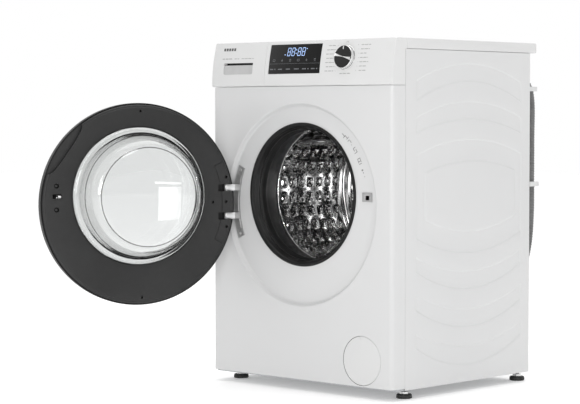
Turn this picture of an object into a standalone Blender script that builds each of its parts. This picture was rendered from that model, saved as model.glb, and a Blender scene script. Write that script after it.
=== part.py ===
"""Front load washing machine: a free-standing cabinet with a sprung tub, a drum, a round glass door,
a detergent drawer, a programme knob, a pump filter behind a round flap, and four levelling feet.

Units are metres, +Z is up, the front faces -Y and +X is to the right seen from the front.
The geometry is set out in cabinet coordinates: x = 0 in the middle of the cabinet, y = 0 on the
front panel's plane, z = 0 on the floor.  The last step moves everything by ORIGIN, which puts the
frame's origin on the floor under the middle of the whole object with its door open.
"""
import math
import bpy
import bmesh
import numpy as np
from mathutils import Matrix, Vector

# ---------------------------------------------------------------- driving dimensions
WIDTH = 0.595            # cabinet, side to side
HEIGHT = 0.850           # floor to worktop
BACK = 0.530             # rear edge of the side panels
LID_BACK = 0.558         # rear edge of the lid
BASE_Z = 0.0224          # underside of the cabinet
LID_Z = 0.8245           # underside of the lid
SHEET = 0.0012           # sheet steel
CORNER = 0.013           # radius of the front vertical corners
WRAP = 0.045             # how far the front panel runs round onto the sides
FASCIA_Z = 0.7398        # bottom of the control panel
SEAM_Y = 0.0496          # seam between control panel and lid
DRAWER_X = -0.1146       # seam between drawer front and control panel

PORT_Z = 0.4766          # axis of drum, tub and porthole
PORT_R = 0.1710          # hole in the front panel
DISH_Y = 0.0120          # depth of the dish round the porthole
DISH_R = 0.2462
GASKET_R = 0.1748        # outer edge of the gasket's lip

DRUM_R = 0.2415          # drum, outside
DRUM_FRONT = 0.0985
DRUM_BACK = 0.4300
MOUTH_R = 0.1642         # drum mouth
TUB_R = 0.2680           # tub, outside
TUB_WALL = 0.0040
TUB_SPLIT = 0.2500
PULLEY_R = 0.1500
MOTOR_PULLEY_R = 0.0120
MOTOR_Z = 0.1300

DOOR_Z = 0.4517          # centre of the door
DOOR_R = 0.2474
GLASS_Z = 0.4722         # centre of the door glass
GLASS_R = 0.1670
HINGE = (-0.2320, -0.0180)   # the door's vertical axis
DOOR_OPEN = 115.26       # degrees open at rest
ARM_Z = (0.4892, 0.4190) # the two hinge arms
HOOK = (0.2080, 0.4735)  # door hook, door closed

KNOB = (0.1475, 0.8060)  # x, z where the knob's axis meets the control panel
KNOB_R = 0.0278
FILTER = (0.2025, 0.0890)
FILTER_R = 0.0584
FEET = [(-0.271, 0.074), (0.271, 0.074), (-0.271, 0.517), (0.271, 0.517)]
HOSE_R = 0.0115

ORIGIN = Vector((0.074, -0.054, 0.0))   # cabinet coordinates to the object's frame

# ---------------------------------------------------------------- helpers
for ob in list(bpy.data.objects):
    bpy.data.objects.remove(ob, do_unlink=True)
for me in list(bpy.data.meshes):
    bpy.data.meshes.remove(me)

MATS = {}


def material(name, colour, rough, metal=0.0, alpha=1.0):
    m = bpy.data.materials.new(name)
    m.use_nodes = True
    b = m.node_tree.nodes["Principled BSDF"]
    b.inputs["Base Color"].default_value = (*colour, 1.0)
    b.inputs["Roughness"].default_value = rough
    b.inputs["Metallic"].default_value = metal
    b.inputs["Alpha"].default_value = alpha
    MATS[name] = m
    return m


material("white_enamel", (0.86, 0.86, 0.86), 0.35)
material("white_plastic", (0.84, 0.84, 0.84), 0.40)
material("galvanised", (0.62, 0.63, 0.64), 0.45, 0.9)
material("stainless", (0.72, 0.72, 0.73), 0.22, 1.0)
material("dark_plastic", (0.055, 0.055, 0.057), 0.45)
material("black_glass", (0.02, 0.02, 0.022), 0.08)
material("clear_glass", (0.85, 0.88, 0.88), 0.05, 0.0, 0.35)
material("rubber_grey", (0.07, 0.07, 0.073), 0.60)
material("rubber_black", (0.02, 0.02, 0.02), 0.70)
material("tub_plastic", (0.55, 0.56, 0.57), 0.55)
material("concrete", (0.45, 0.44, 0.43), 0.90)
material("steel", (0.60, 0.60, 0.61), 0.35, 1.0)
material("cast_aluminium", (0.55, 0.56, 0.57), 0.50, 1.0)
material("grey_plastic", (0.30, 0.30, 0.31), 0.50)
material("knob_dark", (0.045, 0.045, 0.047), 0.30)
material("blue_plastic", (0.10, 0.25, 0.55), 0.45)
material("hose_grey", (0.18, 0.18, 0.185), 0.60)

PIECES = {}


def add(name, bm, mat, smooth=True, angle=35.0):
    bmesh.ops.remove_doubles(bm, verts=bm.verts, dist=1e-6)
    bmesh.ops.recalc_face_normals(bm, faces=bm.faces)
    me = bpy.data.meshes.new(name)
    bm.to_mesh(me)
    bm.free()
    ob = bpy.data.objects.new(name, me)
    bpy.context.scene.collection.objects.link(ob)
    me.materials.append(MATS[mat])
    if smooth:
        me.shade_smooth()
        me.set_sharp_from_angle(angle=math.radians(angle))
    PIECES[name] = ob
    return ob


def temp(bm):
    bmesh.ops.remove_doubles(bm, verts=bm.verts, dist=1e-6)
    bmesh.ops.recalc_face_normals(bm, faces=bm.faces)
    me = bpy.data.meshes.new("cutter")
    bm.to_mesh(me)
    bm.free()
    ob = bpy.data.objects.new("cutter", me)
    bpy.context.scene.collection.objects.link(ob)
    ob.hide_render = True
    ob.display_type = 'WIRE'
    return ob


def bake(ob, angle=35.0):
    """Keep the object's evaluated mesh and drop its modifiers."""
    dg = bpy.context.evaluated_depsgraph_get()
    dg.update()
    me = bpy.data.meshes.new_from_object(ob.evaluated_get(dg))
    old = ob.data
    ob.modifiers.clear()
    ob.data = me
    bpy.data.meshes.remove(old)
    me.name = ob.name
    bm = bmesh.new()
    bm.from_mesh(me)
    bmesh.ops.remove_doubles(bm, verts=bm.verts, dist=2e-6)
    bmesh.ops.dissolve_degenerate(bm, dist=2e-6, edges=bm.edges)
    bm.to_mesh(me)
    bm.free()
    me.shade_smooth()
    me.set_sharp_from_angle(angle=math.radians(angle))
    return ob


def boolean(ob, others, op='DIFFERENCE', angle=35.0):
    for o in others:
        m = ob.modifiers.new("b", 'BOOLEAN')
        m.operation = op
        m.solver = 'EXACT'
        m.object = o
    bake(ob, angle)
    for o in others:
        me = o.data
        bpy.data.objects.remove(o, do_unlink=True)
        bpy.data.meshes.remove(me)
    return ob


def box_bm(x0, x1, y0, y1, z0, z1, bevel=0.0, seg=1):
    bm = bmesh.new()
    bmesh.ops.create_cube(bm, size=1.0)
    bmesh.ops.scale(bm, vec=(x1 - x0, y1 - y0, z1 - z0), verts=bm.verts)
    bmesh.ops.translate(bm, vec=((x0 + x1) / 2, (y0 + y1) / 2, (z0 + z1) / 2), verts=bm.verts)
    if bevel:
        bmesh.ops.bevel(bm, geom=list(bm.edges), offset=bevel, segments=seg, profile=0.5, affect='EDGES')
    return bm


def cyl_bm(r, a, b, n=24, r2=None):
    """Cylinder or cone from point a to point b."""
    a, b = Vector(a), Vector(b)
    d = b - a
    bm = bmesh.new()
    bmesh.ops.create_cone(bm, cap_ends=True, cap_tris=False, segments=n, radius1=r,
                          radius2=r if r2 is None else r2, depth=d.length)
    rot = d.to_track_quat('Z', 'Y').to_matrix().to_4x4()
    bmesh.ops.transform(bm, matrix=Matrix.Translation((a + b) / 2) @ rot, verts=bm.verts)
    return bm


def turn(profile, n=48, cx=0.0, cz=None, a0=0.0, a1=360.0, bm=None):
    """Revolve a closed profile [(r, y) or (r, y, cz)] about the axis along Y.  A point may carry its
    own centre height, for rings whose inner and outer circles are not concentric."""
    bm = bm or bmesh.new()
    full = abs(a1 - a0 - 360.0) < 1e-6
    steps = n if full else n + 1
    loops = []
    for k in range(steps):
        t = math.radians(a0 + (a1 - a0) * k / n)
        ring = []
        for p in profile:
            zc = p[2] if len(p) > 2 else cz
            ring.append((cx + p[0] * math.cos(t), p[1], zc + p[0] * math.sin(t)))
        loops.append(ring)
    verts = []
    axis_cache = {}
    for ring in loops:
        row = []
        for i, co in enumerate(ring):
            if profile[i][0] < 1e-9:
                if i not in axis_cache:
                    axis_cache[i] = bm.verts.new(co)
                row.append(axis_cache[i])
            else:
                row.append(bm.verts.new(co))
        verts.append(row)
    m = len(profile)
    for k in range(n):
        ra, rb = verts[k], verts[(k + 1) % steps]
        for i in range(m):
            j = (i + 1) % m
            q = []
            for v in (ra[i], ra[j], rb[j], rb[i]):
                if v not in q:
                    q.append(v)
            if len(q) >= 3:
                bm.faces.new(q)
    if not full:
        bm.faces.new(verts[0])
        bm.faces.new(verts[-1])
    return bm


def turn_z(profile, n, x, y):
    """Revolve a closed profile [(r, z)] about a vertical axis at x, y."""
    bm = turn([(r, z) for r, z in profile], n=n, cx=0.0, cz=0.0)
    rot = Matrix.Rotation(math.radians(90), 4, 'X')
    bmesh.ops.transform(bm, matrix=Matrix.Translation((x, y, 0)) @ rot, verts=bm.verts)
    return bm


def prism_x(poly, x0, x1):
    """Extrude a polygon [(y, z)] along X."""
    bm = bmesh.new()
    a = [bm.verts.new((x0, y, z)) for y, z in poly]
    b = [bm.verts.new((x1, y, z)) for y, z in poly]
    bm.faces.new(a)
    bm.faces.new(list(reversed(b)))
    for i in range(len(poly)):
        j = (i + 1) % len(poly)
        bm.faces.new((a[i], b[i], b[j], a[j]))
    return bm


def prism_y(poly, y0, y1):
    """Extrude a polygon [(x, z)] along Y."""
    bm = bmesh.new()
    a = [bm.verts.new((x, y0, z)) for x, z in poly]
    b = [bm.verts.new((x, y1, z)) for x, z in poly]
    bm.faces.new(a)
    bm.faces.new(list(reversed(b)))
    for i in range(len(poly)):
        j = (i + 1) % len(poly)
        bm.faces.new((a[i], b[i], b[j], a[j]))
    return bm


def smooth_path(points, count):
    """Catmull-Rom curve through the points, sampled at even steps of length."""
    p = [Vector(q) for q in points]
    p = [p[0] * 2 - p[1]] + p + [p[-1] * 2 - p[-2]]
    dense = []
    for i in range(1, len(p) - 2):
        for k in range(40):
            t = k / 40
            a, b, c, d = p[i - 1], p[i], p[i + 1], p[i + 2]
            dense.append(0.5 * ((2 * b) + (c - a) * t + (2 * a - 5 * b + 4 * c - d) * t * t
                                + (-a + 3 * b - 3 * c + d) * t ** 3))
    dense.append(p[-2])
    cum = [0.0]
    for i in range(1, len(dense)):
        cum.append(cum[-1] + (dense[i] - dense[i - 1]).length)
    out = []
    j = 0
    for k in range(count):
        s = cum[-1] * k / (count - 1)
        while j < len(cum) - 2 and cum[j + 1] < s:
            j += 1
        f = (s - cum[j]) / max(cum[j + 1] - cum[j], 1e-12)
        out.append(dense[j].lerp(dense[j + 1], min(max(f, 0), 1)))
    return out, cum[-1]


def tube(name, points, radius, mat, resolution=2):
    """Round tube along a poly line, as a curve with a bevel and filled caps."""
    cu = bpy.data.curves.new(name, 'CURVE')
    cu.dimensions = '3D'
    cu.bevel_depth = radius
    cu.bevel_resolution = resolution
    cu.use_fill_caps = True
    sp = cu.splines.new('POLY')
    sp.points.add(len(points) - 1)
    for q, v in zip(sp.points, points):
        q.co = (*v, 1.0)
    cu.materials.append(MATS[mat])
    ob = bpy.data.objects.new(name, cu)
    bpy.context.scene.collection.objects.link(ob)
    PIECES[name] = ob
    return ob


# ---------------------------------------------------------------- cabinet: side panels
def arc(ends, middle, y0=0.082, y1=0.497):
    """Height of a shallow arc over the side panel: ends at the borders, middle at the centre."""
    mid, half = (y0 + y1) / 2, (y1 - y0) / 2

    def f(y):
        u = (y - mid) / half
        return middle + (ends - middle) * u * u
    return f


# embossed fields, (lower edge, upper edge, front border, rear border)
FIELDS = [
    (arc(0.1175, 0.0600), arc(0.1560, 0.1120), 0.083, 0.497),
    (arc(0.2070, 0.1530), arc(0.2500, 0.2020), 0.083, 0.497),
    (arc(0.2985, 0.2450), arc(0.3380, 0.2945), 0.083, 0.497),
    (arc(0.3770, 0.3330), arc(0.5757, 0.6145), 0.083, 0.497),
    (arc(0.6214, 0.6560), arc(0.6650, 0.7055), 0.083, 0.497),
    (arc(0.6980, 0.7480), arc(0.7517, 0.7965), 0.083, 0.497),
]
EMBOSS = 0.0018          # depth of a field
EDGE = 0.006             # width of its sloped edge


def side_panel(name, sign):
    ys = [WRAP + 0.0006, 0.070, 0.100, 0.150, 0.210, 0.275, 0.345, 0.420, 0.480, 0.509, BACK]
    outer = WIDTH / 2
    bm = bmesh.new()
    rows = []            # (function of y, depth factor)
    rows.append((lambda y: BASE_Z + 0.0003, 0))
    for lo, hi, a, b in FIELDS:
        rows += [(lo, 0), ((lambda y, f=lo: f(y) + EDGE), 1), ((lambda y, f=hi: f(y) - EDGE), 1), (hi, 0)]
    rows.append((lambda y: LID_Z - 0.0004, 0))
    cols_mid = ys[2:-2]
    grid_o, grid_i = [], []
    for ri, (f, depth) in enumerate(rows):
        k = (ri - 1) // 4
        a, b = (FIELDS[k][2], FIELDS[k][3]) if 0 < ri < len(rows) - 1 else (0.082, 0.497)
        line = [WRAP + 0.0006, a, a + EDGE] + [y for y in cols_mid if a + EDGE + 0.008 < y < b - EDGE - 0.008]
        while len(line) < 3 + len(cols_mid):
            line.append(None)
        # keep the same number of columns on every row
        inner = np.linspace(a + EDGE, b - EDGE, len(cols_mid) + 2)
        line = [WRAP + 0.0006, a] + [float(v) for v in inner] + [b, BACK]
        ro, rin = [], []
        for ci, y in enumerate(line):
            d = EMBOSS * depth if 2 <= ci <= len(line) - 3 else 0.0
            z = f(min(max(y, a), b)) if 0 < ri < len(rows) - 1 else f(y)
            ro.append(bm.verts.new((sign * (outer - d), y, z)))
            rin.append(bm.verts.new((sign * (outer - d - SHEET), y, z)))
        grid_o.append(ro)
        grid_i.append(rin)
    R, C = len(grid_o), len(grid_o[0])
    for i in range(R - 1):
        for j in range(C - 1):
            bm.faces.new((grid_o[i][j], grid_o[i][j + 1], grid_o[i + 1][j + 1], grid_o[i + 1][j]))
            bm.faces.new((grid_i[i][j], grid_i[i + 1][j], grid_i[i + 1][j + 1], grid_i[i][j + 1]))
    for i in range(R - 1):
        bm.faces.new((grid_o[i][0], grid_o[i + 1][0], grid_i[i + 1][0], grid_i[i][0]))
        bm.faces.new((grid_o[i][-1], grid_i[i][-1], grid_i[i + 1][-1], grid_o[i + 1][-1]))
    for j in range(C - 1):
        bm.faces.new((grid_o[0][j], grid_i[0][j], grid_i[0][j + 1], grid_o[0][j + 1]))
        bm.faces.new((grid_o[-1][j], grid_o[-1][j + 1], grid_i[-1][j + 1], grid_i[-1][j]))
    add(name, bm, "white_enamel", angle=20)


side_panel("side_left", -1)
side_panel("side_right", 1)

# ---------------------------------------------------------------- cabinet: front panel
PANEL_TOP = FASCIA_Z - 0.0008
PANEL_BOTTOM = BASE_Z + 0.0050


def front_panel():
    """Flat sheet with a dish round the porthole; its sides run round the corners."""
    n = 48
    flat = WIDTH / 2 - CORNER
    corners = [math.atan2(z - DOOR_Z, x) for x in (-flat, flat) for z in (PANEL_BOTTOM, PANEL_TOP)]
    angles = [2 * math.pi * k / n for k in range(n)]
    for c in corners:
        c = c % (2 * math.pi)
        k = min(range(len(angles)), key=lambda i: abs(angles[i] - c))
        angles[k] = c
    angles.sort()
    n = len(angles)
    bm = bmesh.new()

    def rect(t):
        dx, dz = math.cos(t), math.sin(t)
        s = 1e9
        if abs(dx) > 1e-9:
            s = min(s, flat / abs(dx))
        if dz > 1e-9:
            s = min(s, (PANEL_TOP - DOOR_Z) / dz)
        if dz < -1e-9:
            s = min(s, (PANEL_BOTTOM - DOOR_Z) / dz)
        return s * dx, DOOR_Z + s * dz

    rings = [[bm.verts.new((rect(t)[0], 0.0, rect(t)[1])) for t in angles]]
    for r, y, zc in ((DISH_R, 0.0, DOOR_Z), (DISH_R - 0.0025, 0.0012, DOOR_Z), (DISH_R - 0.0065, DISH_Y - 0.0015, DOOR_Z),
                     (DISH_R - 0.0095, DISH_Y, DOOR_Z), (PORT_R, DISH_Y, PORT_Z)):
        rings.append([bm.verts.new((r * math.cos(t), y, zc + r * math.sin(t))) for t in angles])
    for a, b in zip(rings[:-1], rings[1:]):
        for k in range(n):
            j = (k + 1) % n
            bm.faces.new((a[k], a[j], b[j], b[k]))
    # the boundary runs round the corners, and back as short flanges above and below
    arc_pts = [(CORNER * math.sin(math.radians(a)), CORNER * (1 - math.cos(math.radians(a)))) for a in (30, 60, 90)]
    for sign in (-1, 1):
        edge = sorted([v for v in rings[0] if abs(v.co.x - sign * flat) < 1e-6], key=lambda v: v.co.z)
        prev = edge
        for dx, dy in arc_pts + [(CORNER, WRAP)]:
            row = [bm.verts.new((sign * (flat + dx), dy, v.co.z)) for v in edge]
            for i in range(len(edge) - 1):
                bm.faces.new((prev[i], prev[i + 1], row[i + 1], row[i]))
            prev = row
    for z, dz in ((PANEL_BOTTOM, 1), (PANEL_TOP, -1)):
        edge = sorted([v for v in rings[0] if abs(v.co.z - z) < 1e-6], key=lambda v: v.co.x)
        row = [bm.verts.new((v.co.x, 0.014, z)) for v in edge]
        for i in range(len(edge) - 1):
            bm.faces.new((edge[i], edge[i + 1], row[i + 1], row[i]))
    bmesh.ops.recalc_face_normals(bm, faces=bm.faces)
    # the open sheet's normals must face outwards, towards -Y
    big = max(bm.faces, key=lambda f: f.calc_area())
    if big.normal.y > 0:
        bmesh.ops.reverse_faces(bm, faces=bm.faces)
    me = bpy.data.meshes.new("front_panel")
    bm.to_mesh(me)
    bm.free()
    ob = bpy.data.objects.new("front_panel", me)
    bpy.context.scene.collection.objects.link(ob)
    me.materials.append(MATS["white_enamel"])
    PIECES["front_panel"] = ob
    s = ob.modifiers.new("sheet", 'SOLIDIFY')
    s.thickness = SHEET
    s.offset = -1.0
    s.use_even_offset = True
    bake(ob)
    cuts = [temp(cyl_bm(FILTER_R + 0.0007, (FILTER[0], -0.01, FILTER[1]), (FILTER[0], 0.02, FILTER[1]), 32)),
            temp(box_bm(0.2000, 0.2200, 0.0, 0.03, 0.4670, 0.4830))]
    boolean(ob, cuts)


front_panel()

# ---------------------------------------------------------------- cabinet: base, back, lid, brace
ob = add("base_pan", box_bm(-0.2955, 0.2955, 0.0150, 0.5275, BASE_Z, BASE_Z + 0.0080), "galvanised")
boolean(ob, [temp(box_bm(-0.2940, 0.2940, 0.0165, 0.5260, BASE_Z + 0.0015, BASE_Z + 0.05))]
        + [temp(cyl_bm(0.0066, (x, y, 0.0), (x, y, 0.05), 16)) for x, y in FEET])

ob = add("back_panel", box_bm(-0.2955, 0.2955, 0.5288, 0.5300, 0.0425, 0.8200), "galvanised")
boolean(ob, [temp(cyl_bm(0.1750, (0, 0.50, PORT_Z - 0.080), (0, 0.55, PORT_Z - 0.080), 40)),
             temp(box_bm(0.2120, 0.2520, 0.50, 0.55, 0.1480, 0.2280, 0.012, 3)),
             temp(cyl_bm(0.0160, (-0.2300, 0.50, 0.7700), (-0.2300, 0.55, 0.7700), 20)),
             temp(cyl_bm(0.0090, (-0.1600, 0.50, 0.7700), (-0.1600, 0.55, 0.7700), 20))])

ac = PORT_Z - 0.080
add("service_cover", turn([(0.0, 0.5240), (0.1600, 0.5240), (0.1700, 0.5304), (0.1860, 0.5304), (0.1860, 0.5318),
                           (0.1692, 0.5318), (0.1592, 0.5254), (0.0, 0.5254)], 28, 0.0, ac), "galvanised")

ob = add("top_lid", box_bm(-WIDTH / 2, WIDTH / 2, SEAM_Y + 0.0002, LID_BACK, LID_Z, HEIGHT), "white_plastic")
m = ob.modifiers.new("edge", 'BEVEL')
m.width = 0.0025
m.segments = 2
m.limit_method = 'ANGLE'
bake(ob)
boolean(ob, [temp(box_bm(-0.2800, 0.2800, 0.0700, 0.5150, LID_Z - 0.01, LID_Z + 0.0080))])
lip = temp(prism_x([(0.5345, LID_Z + 0.004), (0.5345, LID_Z - 0.0085), (0.5400, LID_Z - 0.0110), (0.5560, LID_Z + 0.0040)],
                   -0.2600, 0.2600))
boolean(ob, [lip], 'UNION')

add("top_brace", box_bm(-0.2955, 0.2955, 0.3450, 0.3750, 0.8060, 0.8220), "galvanised", smooth=False)


# ---------------------------------------------------------------- control panel
def face_y(z):
    """The control panel's face leans back and is slightly convex."""
    u = z - 0.755
    return -0.0034 + 0.0453 * u + 1.317 * u * u


def face_slope(z):
    return 0.0453 + 2 * 1.317 * (z - 0.755)


FACE_Z = [0.7430, 0.7560, 0.7700, 0.7880, 0.8060, 0.8230, 0.8410, 0.8485]


def face_poly(inset, zlo, zhi, back):
    """Outline of the control panel's section: leaning face, then straight back."""
    pts = [(face_y(FACE_Z[0]) + 0.0048 + inset, zlo)]
    pts += [(face_y(z) + inset, z) for z in FACE_Z if zlo + 0.001 < z < zhi - 0.0005]
    pts += [(face_y(zhi) + inset + 0.0015, zhi), (back, zhi), (back, zlo)]
    return pts


fascia = add("control_fascia", prism_x(face_poly(0.0, FASCIA_Z, HEIGHT - 0.0003, SEAM_Y - 0.0002), DRAWER_X + 0.0004, WIDTH / 2),
             "white_plastic")
bm = bmesh.new()
bm.from_mesh(fascia.data)
front_edges = [e for e in bm.edges if all(abs(v.co.x - WIDTH / 2) < 1e-6 for v in e.verts)
               and max(v.co.y for v in e.verts) < 0.025 and abs(e.verts[0].co.z - e.verts[1].co.z) > 1e-4]
bmesh.ops.bevel(bm, geom=front_edges, offset=0.010, segments=3, profile=0.5, affect='EDGES')
bm.to_mesh(fascia.data)
bm.free()
hollow = temp(prism_x(face_poly(0.0030, FASCIA_Z + 0.0030, HEIGHT - 0.0033, 0.08), DRAWER_X + 0.0034, WIDTH / 2 - 0.0030))
# the frame the drawer front closes against, set back behind it
frame_plate = temp(box_bm(-WIDTH / 2, DRAWER_X + 0.0020, 0.0262, 0.0292, FASCIA_Z, HEIGHT - 0.0040))
frame_top = temp(box_bm(-WIDTH / 2, DRAWER_X + 0.0020, 0.0262, SEAM_Y - 0.0002, HEIGHT - 0.0040, HEIGHT - 0.0003))
frame_end = temp(box_bm(-WIDTH / 2, -WIDTH / 2 + 0.0030, 0.0262, SEAM_Y - 0.0002, FASCIA_Z, HEIGHT - 0.0003))
tray_hole = temp(box_bm(-0.2810, -0.1250, 0.0, 0.07, 0.7500, 0.8160))
boolean(fascia, [hollow])
boolean(fascia, [frame_plate, frame_top, frame_end], 'UNION')
boolean(fascia, [tray_hole])
step = temp(box_bm(0.2880, 0.31, WRAP - 0.0004, 0.06, FASCIA_Z - 0.01, LID_Z - 0.0002))
step2 = temp(box_bm(-0.31, -0.2880, WRAP - 0.0004, 0.06, FASCIA_Z - 0.01, LID_Z - 0.0002))
DISPLAY = (-0.1015, 0.0680, 0.7700, 0.8410)
window = temp(box_bm(DISPLAY[0] - 0.0004, DISPLAY[1] + 0.0004, -0.05, 0.0300, DISPLAY[2] - 0.0004, DISPLAY[3] + 0.0004))
slope = math.atan(face_slope(KNOB[1]))
KN = Vector((0.0, -math.cos(slope), math.sin(slope)))       # the knob's axis, out of the panel
KP = Vector((KNOB[0], face_y(KNOB[1]), KNOB[1]))
shaft_hole = temp(cyl_bm(0.0045, KP - KN * 0.02, KP + KN * 0.02, 16))
boolean(fascia, [step, step2, window, shaft_hole])

glass_poly = [(face_y(z) + 0.0002, z) for z in (0.7700, 0.7880, 0.8060, 0.8230, 0.8410)]
glass_poly += [(face_y(z) + 0.0026, z) for z in (0.8410, 0.8230, 0.8060, 0.7880, 0.7700)]
add("display_glass", prism_x(glass_poly, DISPLAY[0], DISPLAY[1]), "black_glass")

# ---------------------------------------------------------------- programme knob
kb = turn([(0.0, 0.0), (KNOB_R - 0.0020, 0.0), (KNOB_R, 0.0020), (KNOB_R - 0.0006, 0.0095), (KNOB_R - 0.0022, 0.0112),
           (0.0, 0.0122)], 28, 0.0, 0.0)
# the profile's y is height along the axis: turn it to the panel's normal
to_axis = Matrix.Translation(KP + KN * 0.0018) @ Vector((0, 1, 0)).rotation_difference(KN).to_matrix().to_4x4()
bmesh.ops.transform(kb, matrix=to_axis, verts=kb.verts)
knob = add("program_knob", kb, "knob_dark")
boolean(knob, [temp(cyl_bm(0.0040, KP - KN * 0.0180, KP + KN * 0.0060, 16))], 'UNION')

# ---------------------------------------------------------------- detergent drawer
dpoly = face_poly(0.0, FASCIA_Z, HEIGHT - 0.0003, 0.0258)
dfront = add("drawer_front", prism_x(dpoly, -WIDTH / 2, DRAWER_X), "white_plastic")
bm = bmesh.new()
bm.from_mesh(dfront.data)
front_edges = [e for e in bm.edges if all(abs(v.co.x + WIDTH / 2) < 1e-6 for v in e.verts)
               and max(v.co.y for v in e.verts) < 0.022 and abs(e.verts[0].co.z - e.verts[1].co.z) > 1e-4]
bmesh.ops.bevel(bm, geom=front_edges, offset=0.010, segments=3, profile=0.5, affect='EDGES')
bm.to_mesh(dfront.data)
bm.free()
grip = temp(prism_x([(-0.02, 0.7990), (0.0185, 0.8050), (0.0185, 0.7985), (0.0105, 0.7780), (0.0015, 0.7705), (-0.02, 0.7690)],
                    -0.2575, -0.1570))
boolean(dfront, [grip])

tray = add("drawer_tray", box_bm(-0.2780, -0.1280, 0.0262, 0.2700, 0.7545, 0.8120), "white_plastic")
wall = 0.0022
cells = [(-0.2758, -0.2080, 0.030, 0.265), (-0.2050, -0.1700, 0.030, 0.165), (-0.2050, -0.1700, 0.168, 0.265),
         (-0.1670, -0.1302, 0.030, 0.265)]
boolean(tray, [temp(box_bm(a, b, c, d, 0.7570, 0.83)) for a, b, c, d in cells])
add("siphon_cap", box_bm(-0.2040, -0.1710, 0.1700, 0.2400, 0.7580, 0.8020, 0.004, 2), "blue_plastic")

housing = add("drawer_housing", box_bm(-0.2840, -0.1220, 0.0296, 0.2980, 0.7485, 0.8190), "white_plastic")
boolean(housing, [temp(box_bm(-0.2810, -0.1250, 0.0, 0.2950, 0.7512, 0.8162)),
                  temp(cyl_bm(0.0150, (-0.2000, 0.2700, 0.74), (-0.2000, 0.2700, 0.753), 20))])

# ---------------------------------------------------------------- tub, suspended from the brace
tub_front = add("tub_front", turn([(0.1685, 0.0680), (0.1725, 0.0680), (0.1725, 0.0860), (0.2620, 0.0860), (TUB_R, 0.0920),
                                   (TUB_R, 0.2430), (0.2745, 0.2430), (0.2745, TUB_SPLIT), (TUB_R - TUB_WALL, TUB_SPLIT),
                                   (TUB_R - TUB_WALL, 0.0905), (0.1685, 0.0905)], 36, 0.0, PORT_Z),
                "tub_plastic")
tub_rear = add("tub_rear", turn([(TUB_R - TUB_WALL, TUB_SPLIT + 0.0004), (0.2745, TUB_SPLIT + 0.0004), (0.2745, 0.2574), (TUB_R, 0.2574),
                                 (TUB_R, 0.4460), (0.2620, 0.4520), (0.0450, 0.4520), (0.0360, 0.4800), (0.0156, 0.4800),
                                 (0.0156, 0.4470), (TUB_R - TUB_WALL, 0.4470)], 36, 0.0, PORT_Z),
               "tub_plastic")
lugs = [temp(box_bm(s * 0.240 - 0.018, s * 0.240 + 0.014, 0.3520, 0.3680, 0.5950, 0.6520)) for s in (-1, 1)]
boolean(tub_rear, lugs, 'UNION')
boolean(tub_rear, [temp(turn([(0.0, 0.25), (TUB_R - TUB_WALL, 0.25), (TUB_R - TUB_WALL, 0.4440), (0.0, 0.4440)], 36, 0.0, PORT_Z))])

for name, s in (("spring_left", -1), ("spring_right", 1)):
    turns, steps = 5, 7
    pts = []
    z0, z1 = 0.6550, 0.8030
    for k in range(turns * steps + 1):
        t = 2 * math.pi * k / steps
        pts.append((s * 0.240 + 0.0100 * math.cos(t), 0.3600 + 0.0100 * math.sin(t), z0 + 0.0030 + (z1 - z0 - 0.0060) * k / (turns * steps)))
    tube(name, pts, 0.0022, "steel", 1)

cw = add("counterweight_top", box_bm(-0.1050, 0.1500, 0.1150, 0.3250, 0.7200, 0.7940, 0.006, 1), "concrete")
boolean(cw, [temp(turn([(0.0, 0.05), (0.2752, 0.05), (0.2752, 0.42), (0.0, 0.42)], 64, 0.0, PORT_Z))])
add("counterweight_front", turn([(0.1900, 0.0500), (0.2480, 0.0500), (0.2480, 0.0850), (0.1900, 0.0850)], 20, 0.0, PORT_Z, 205, 335),
    "concrete")

hr = 0.2528
pts = [(hr * math.cos(math.radians(a)), y, PORT_Z + hr * math.sin(math.radians(a))) for a, y in
       [(-97, 0.4435), (-97, 0.40), (-97, 0.30), (-97, 0.20), (-96, 0.165), (-93.5, 0.150), (-90, 0.146), (-86.5, 0.150),
        (-84, 0.165), (-83, 0.20), (-83, 0.30), (-83, 0.40), (-83, 0.4435)]]
tube("heater", pts, 0.0035, "stainless", 2)

motor = add("motor", cyl_bm(0.0600, (0, 0.3000, MOTOR_Z), (0, 0.4400, MOTOR_Z), 32), "galvanised")
boolean(motor, [temp(box_bm(-0.0500, -0.0300, 0.3200, 0.4200, 0.1500, 0.2080)),
                temp(box_bm(0.0300, 0.0500, 0.3200, 0.4200, 0.1500, 0.2080)),
                temp(cyl_bm(0.0250, (0, 0.4390, MOTOR_Z), (0, 0.4700, MOTOR_Z), 20))], 'UNION')
boolean(motor, [temp(turn([(0.0, 0.28), (TUB_R + 0.0006, 0.28), (TUB_R + 0.0006, 0.44), (0.0, 0.44)], 64, 0.0, PORT_Z)),
                temp(cyl_bm(0.0053, (0, 0.4600, MOTOR_Z), (0, 0.4800, MOTOR_Z), 16))])
mp = add("motor_pulley", turn([(0.0, 0.4620), (0.0050, 0.4620), (0.0050, 0.4860), (MOTOR_PULLEY_R, 0.4860), (MOTOR_PULLEY_R, 0.5010),
                               (0.0, 0.5010)], 24, 0.0, MOTOR_Z), "steel")

# belt round both pulleys
def belt_outline(r1, r2, z1, z2, n=28):
    """Outer tangent outline round a big circle at z1 and a small one at z2, below it."""
    d = z1 - z2
    a = math.asin((r1 - r2) / d)
    pts = []
    for k in range(n + 1):
        t = -a + (math.pi + 2 * a) * k / n
        pts.append((r1 * math.cos(t), z1 + r1 * math.sin(t)))
    for k in range(9):
        t = math.pi + a + (math.pi - 2 * a) * k / 8
        pts.append((r2 * math.cos(t), z2 + r2 * math.sin(t)))
    return pts


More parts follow.
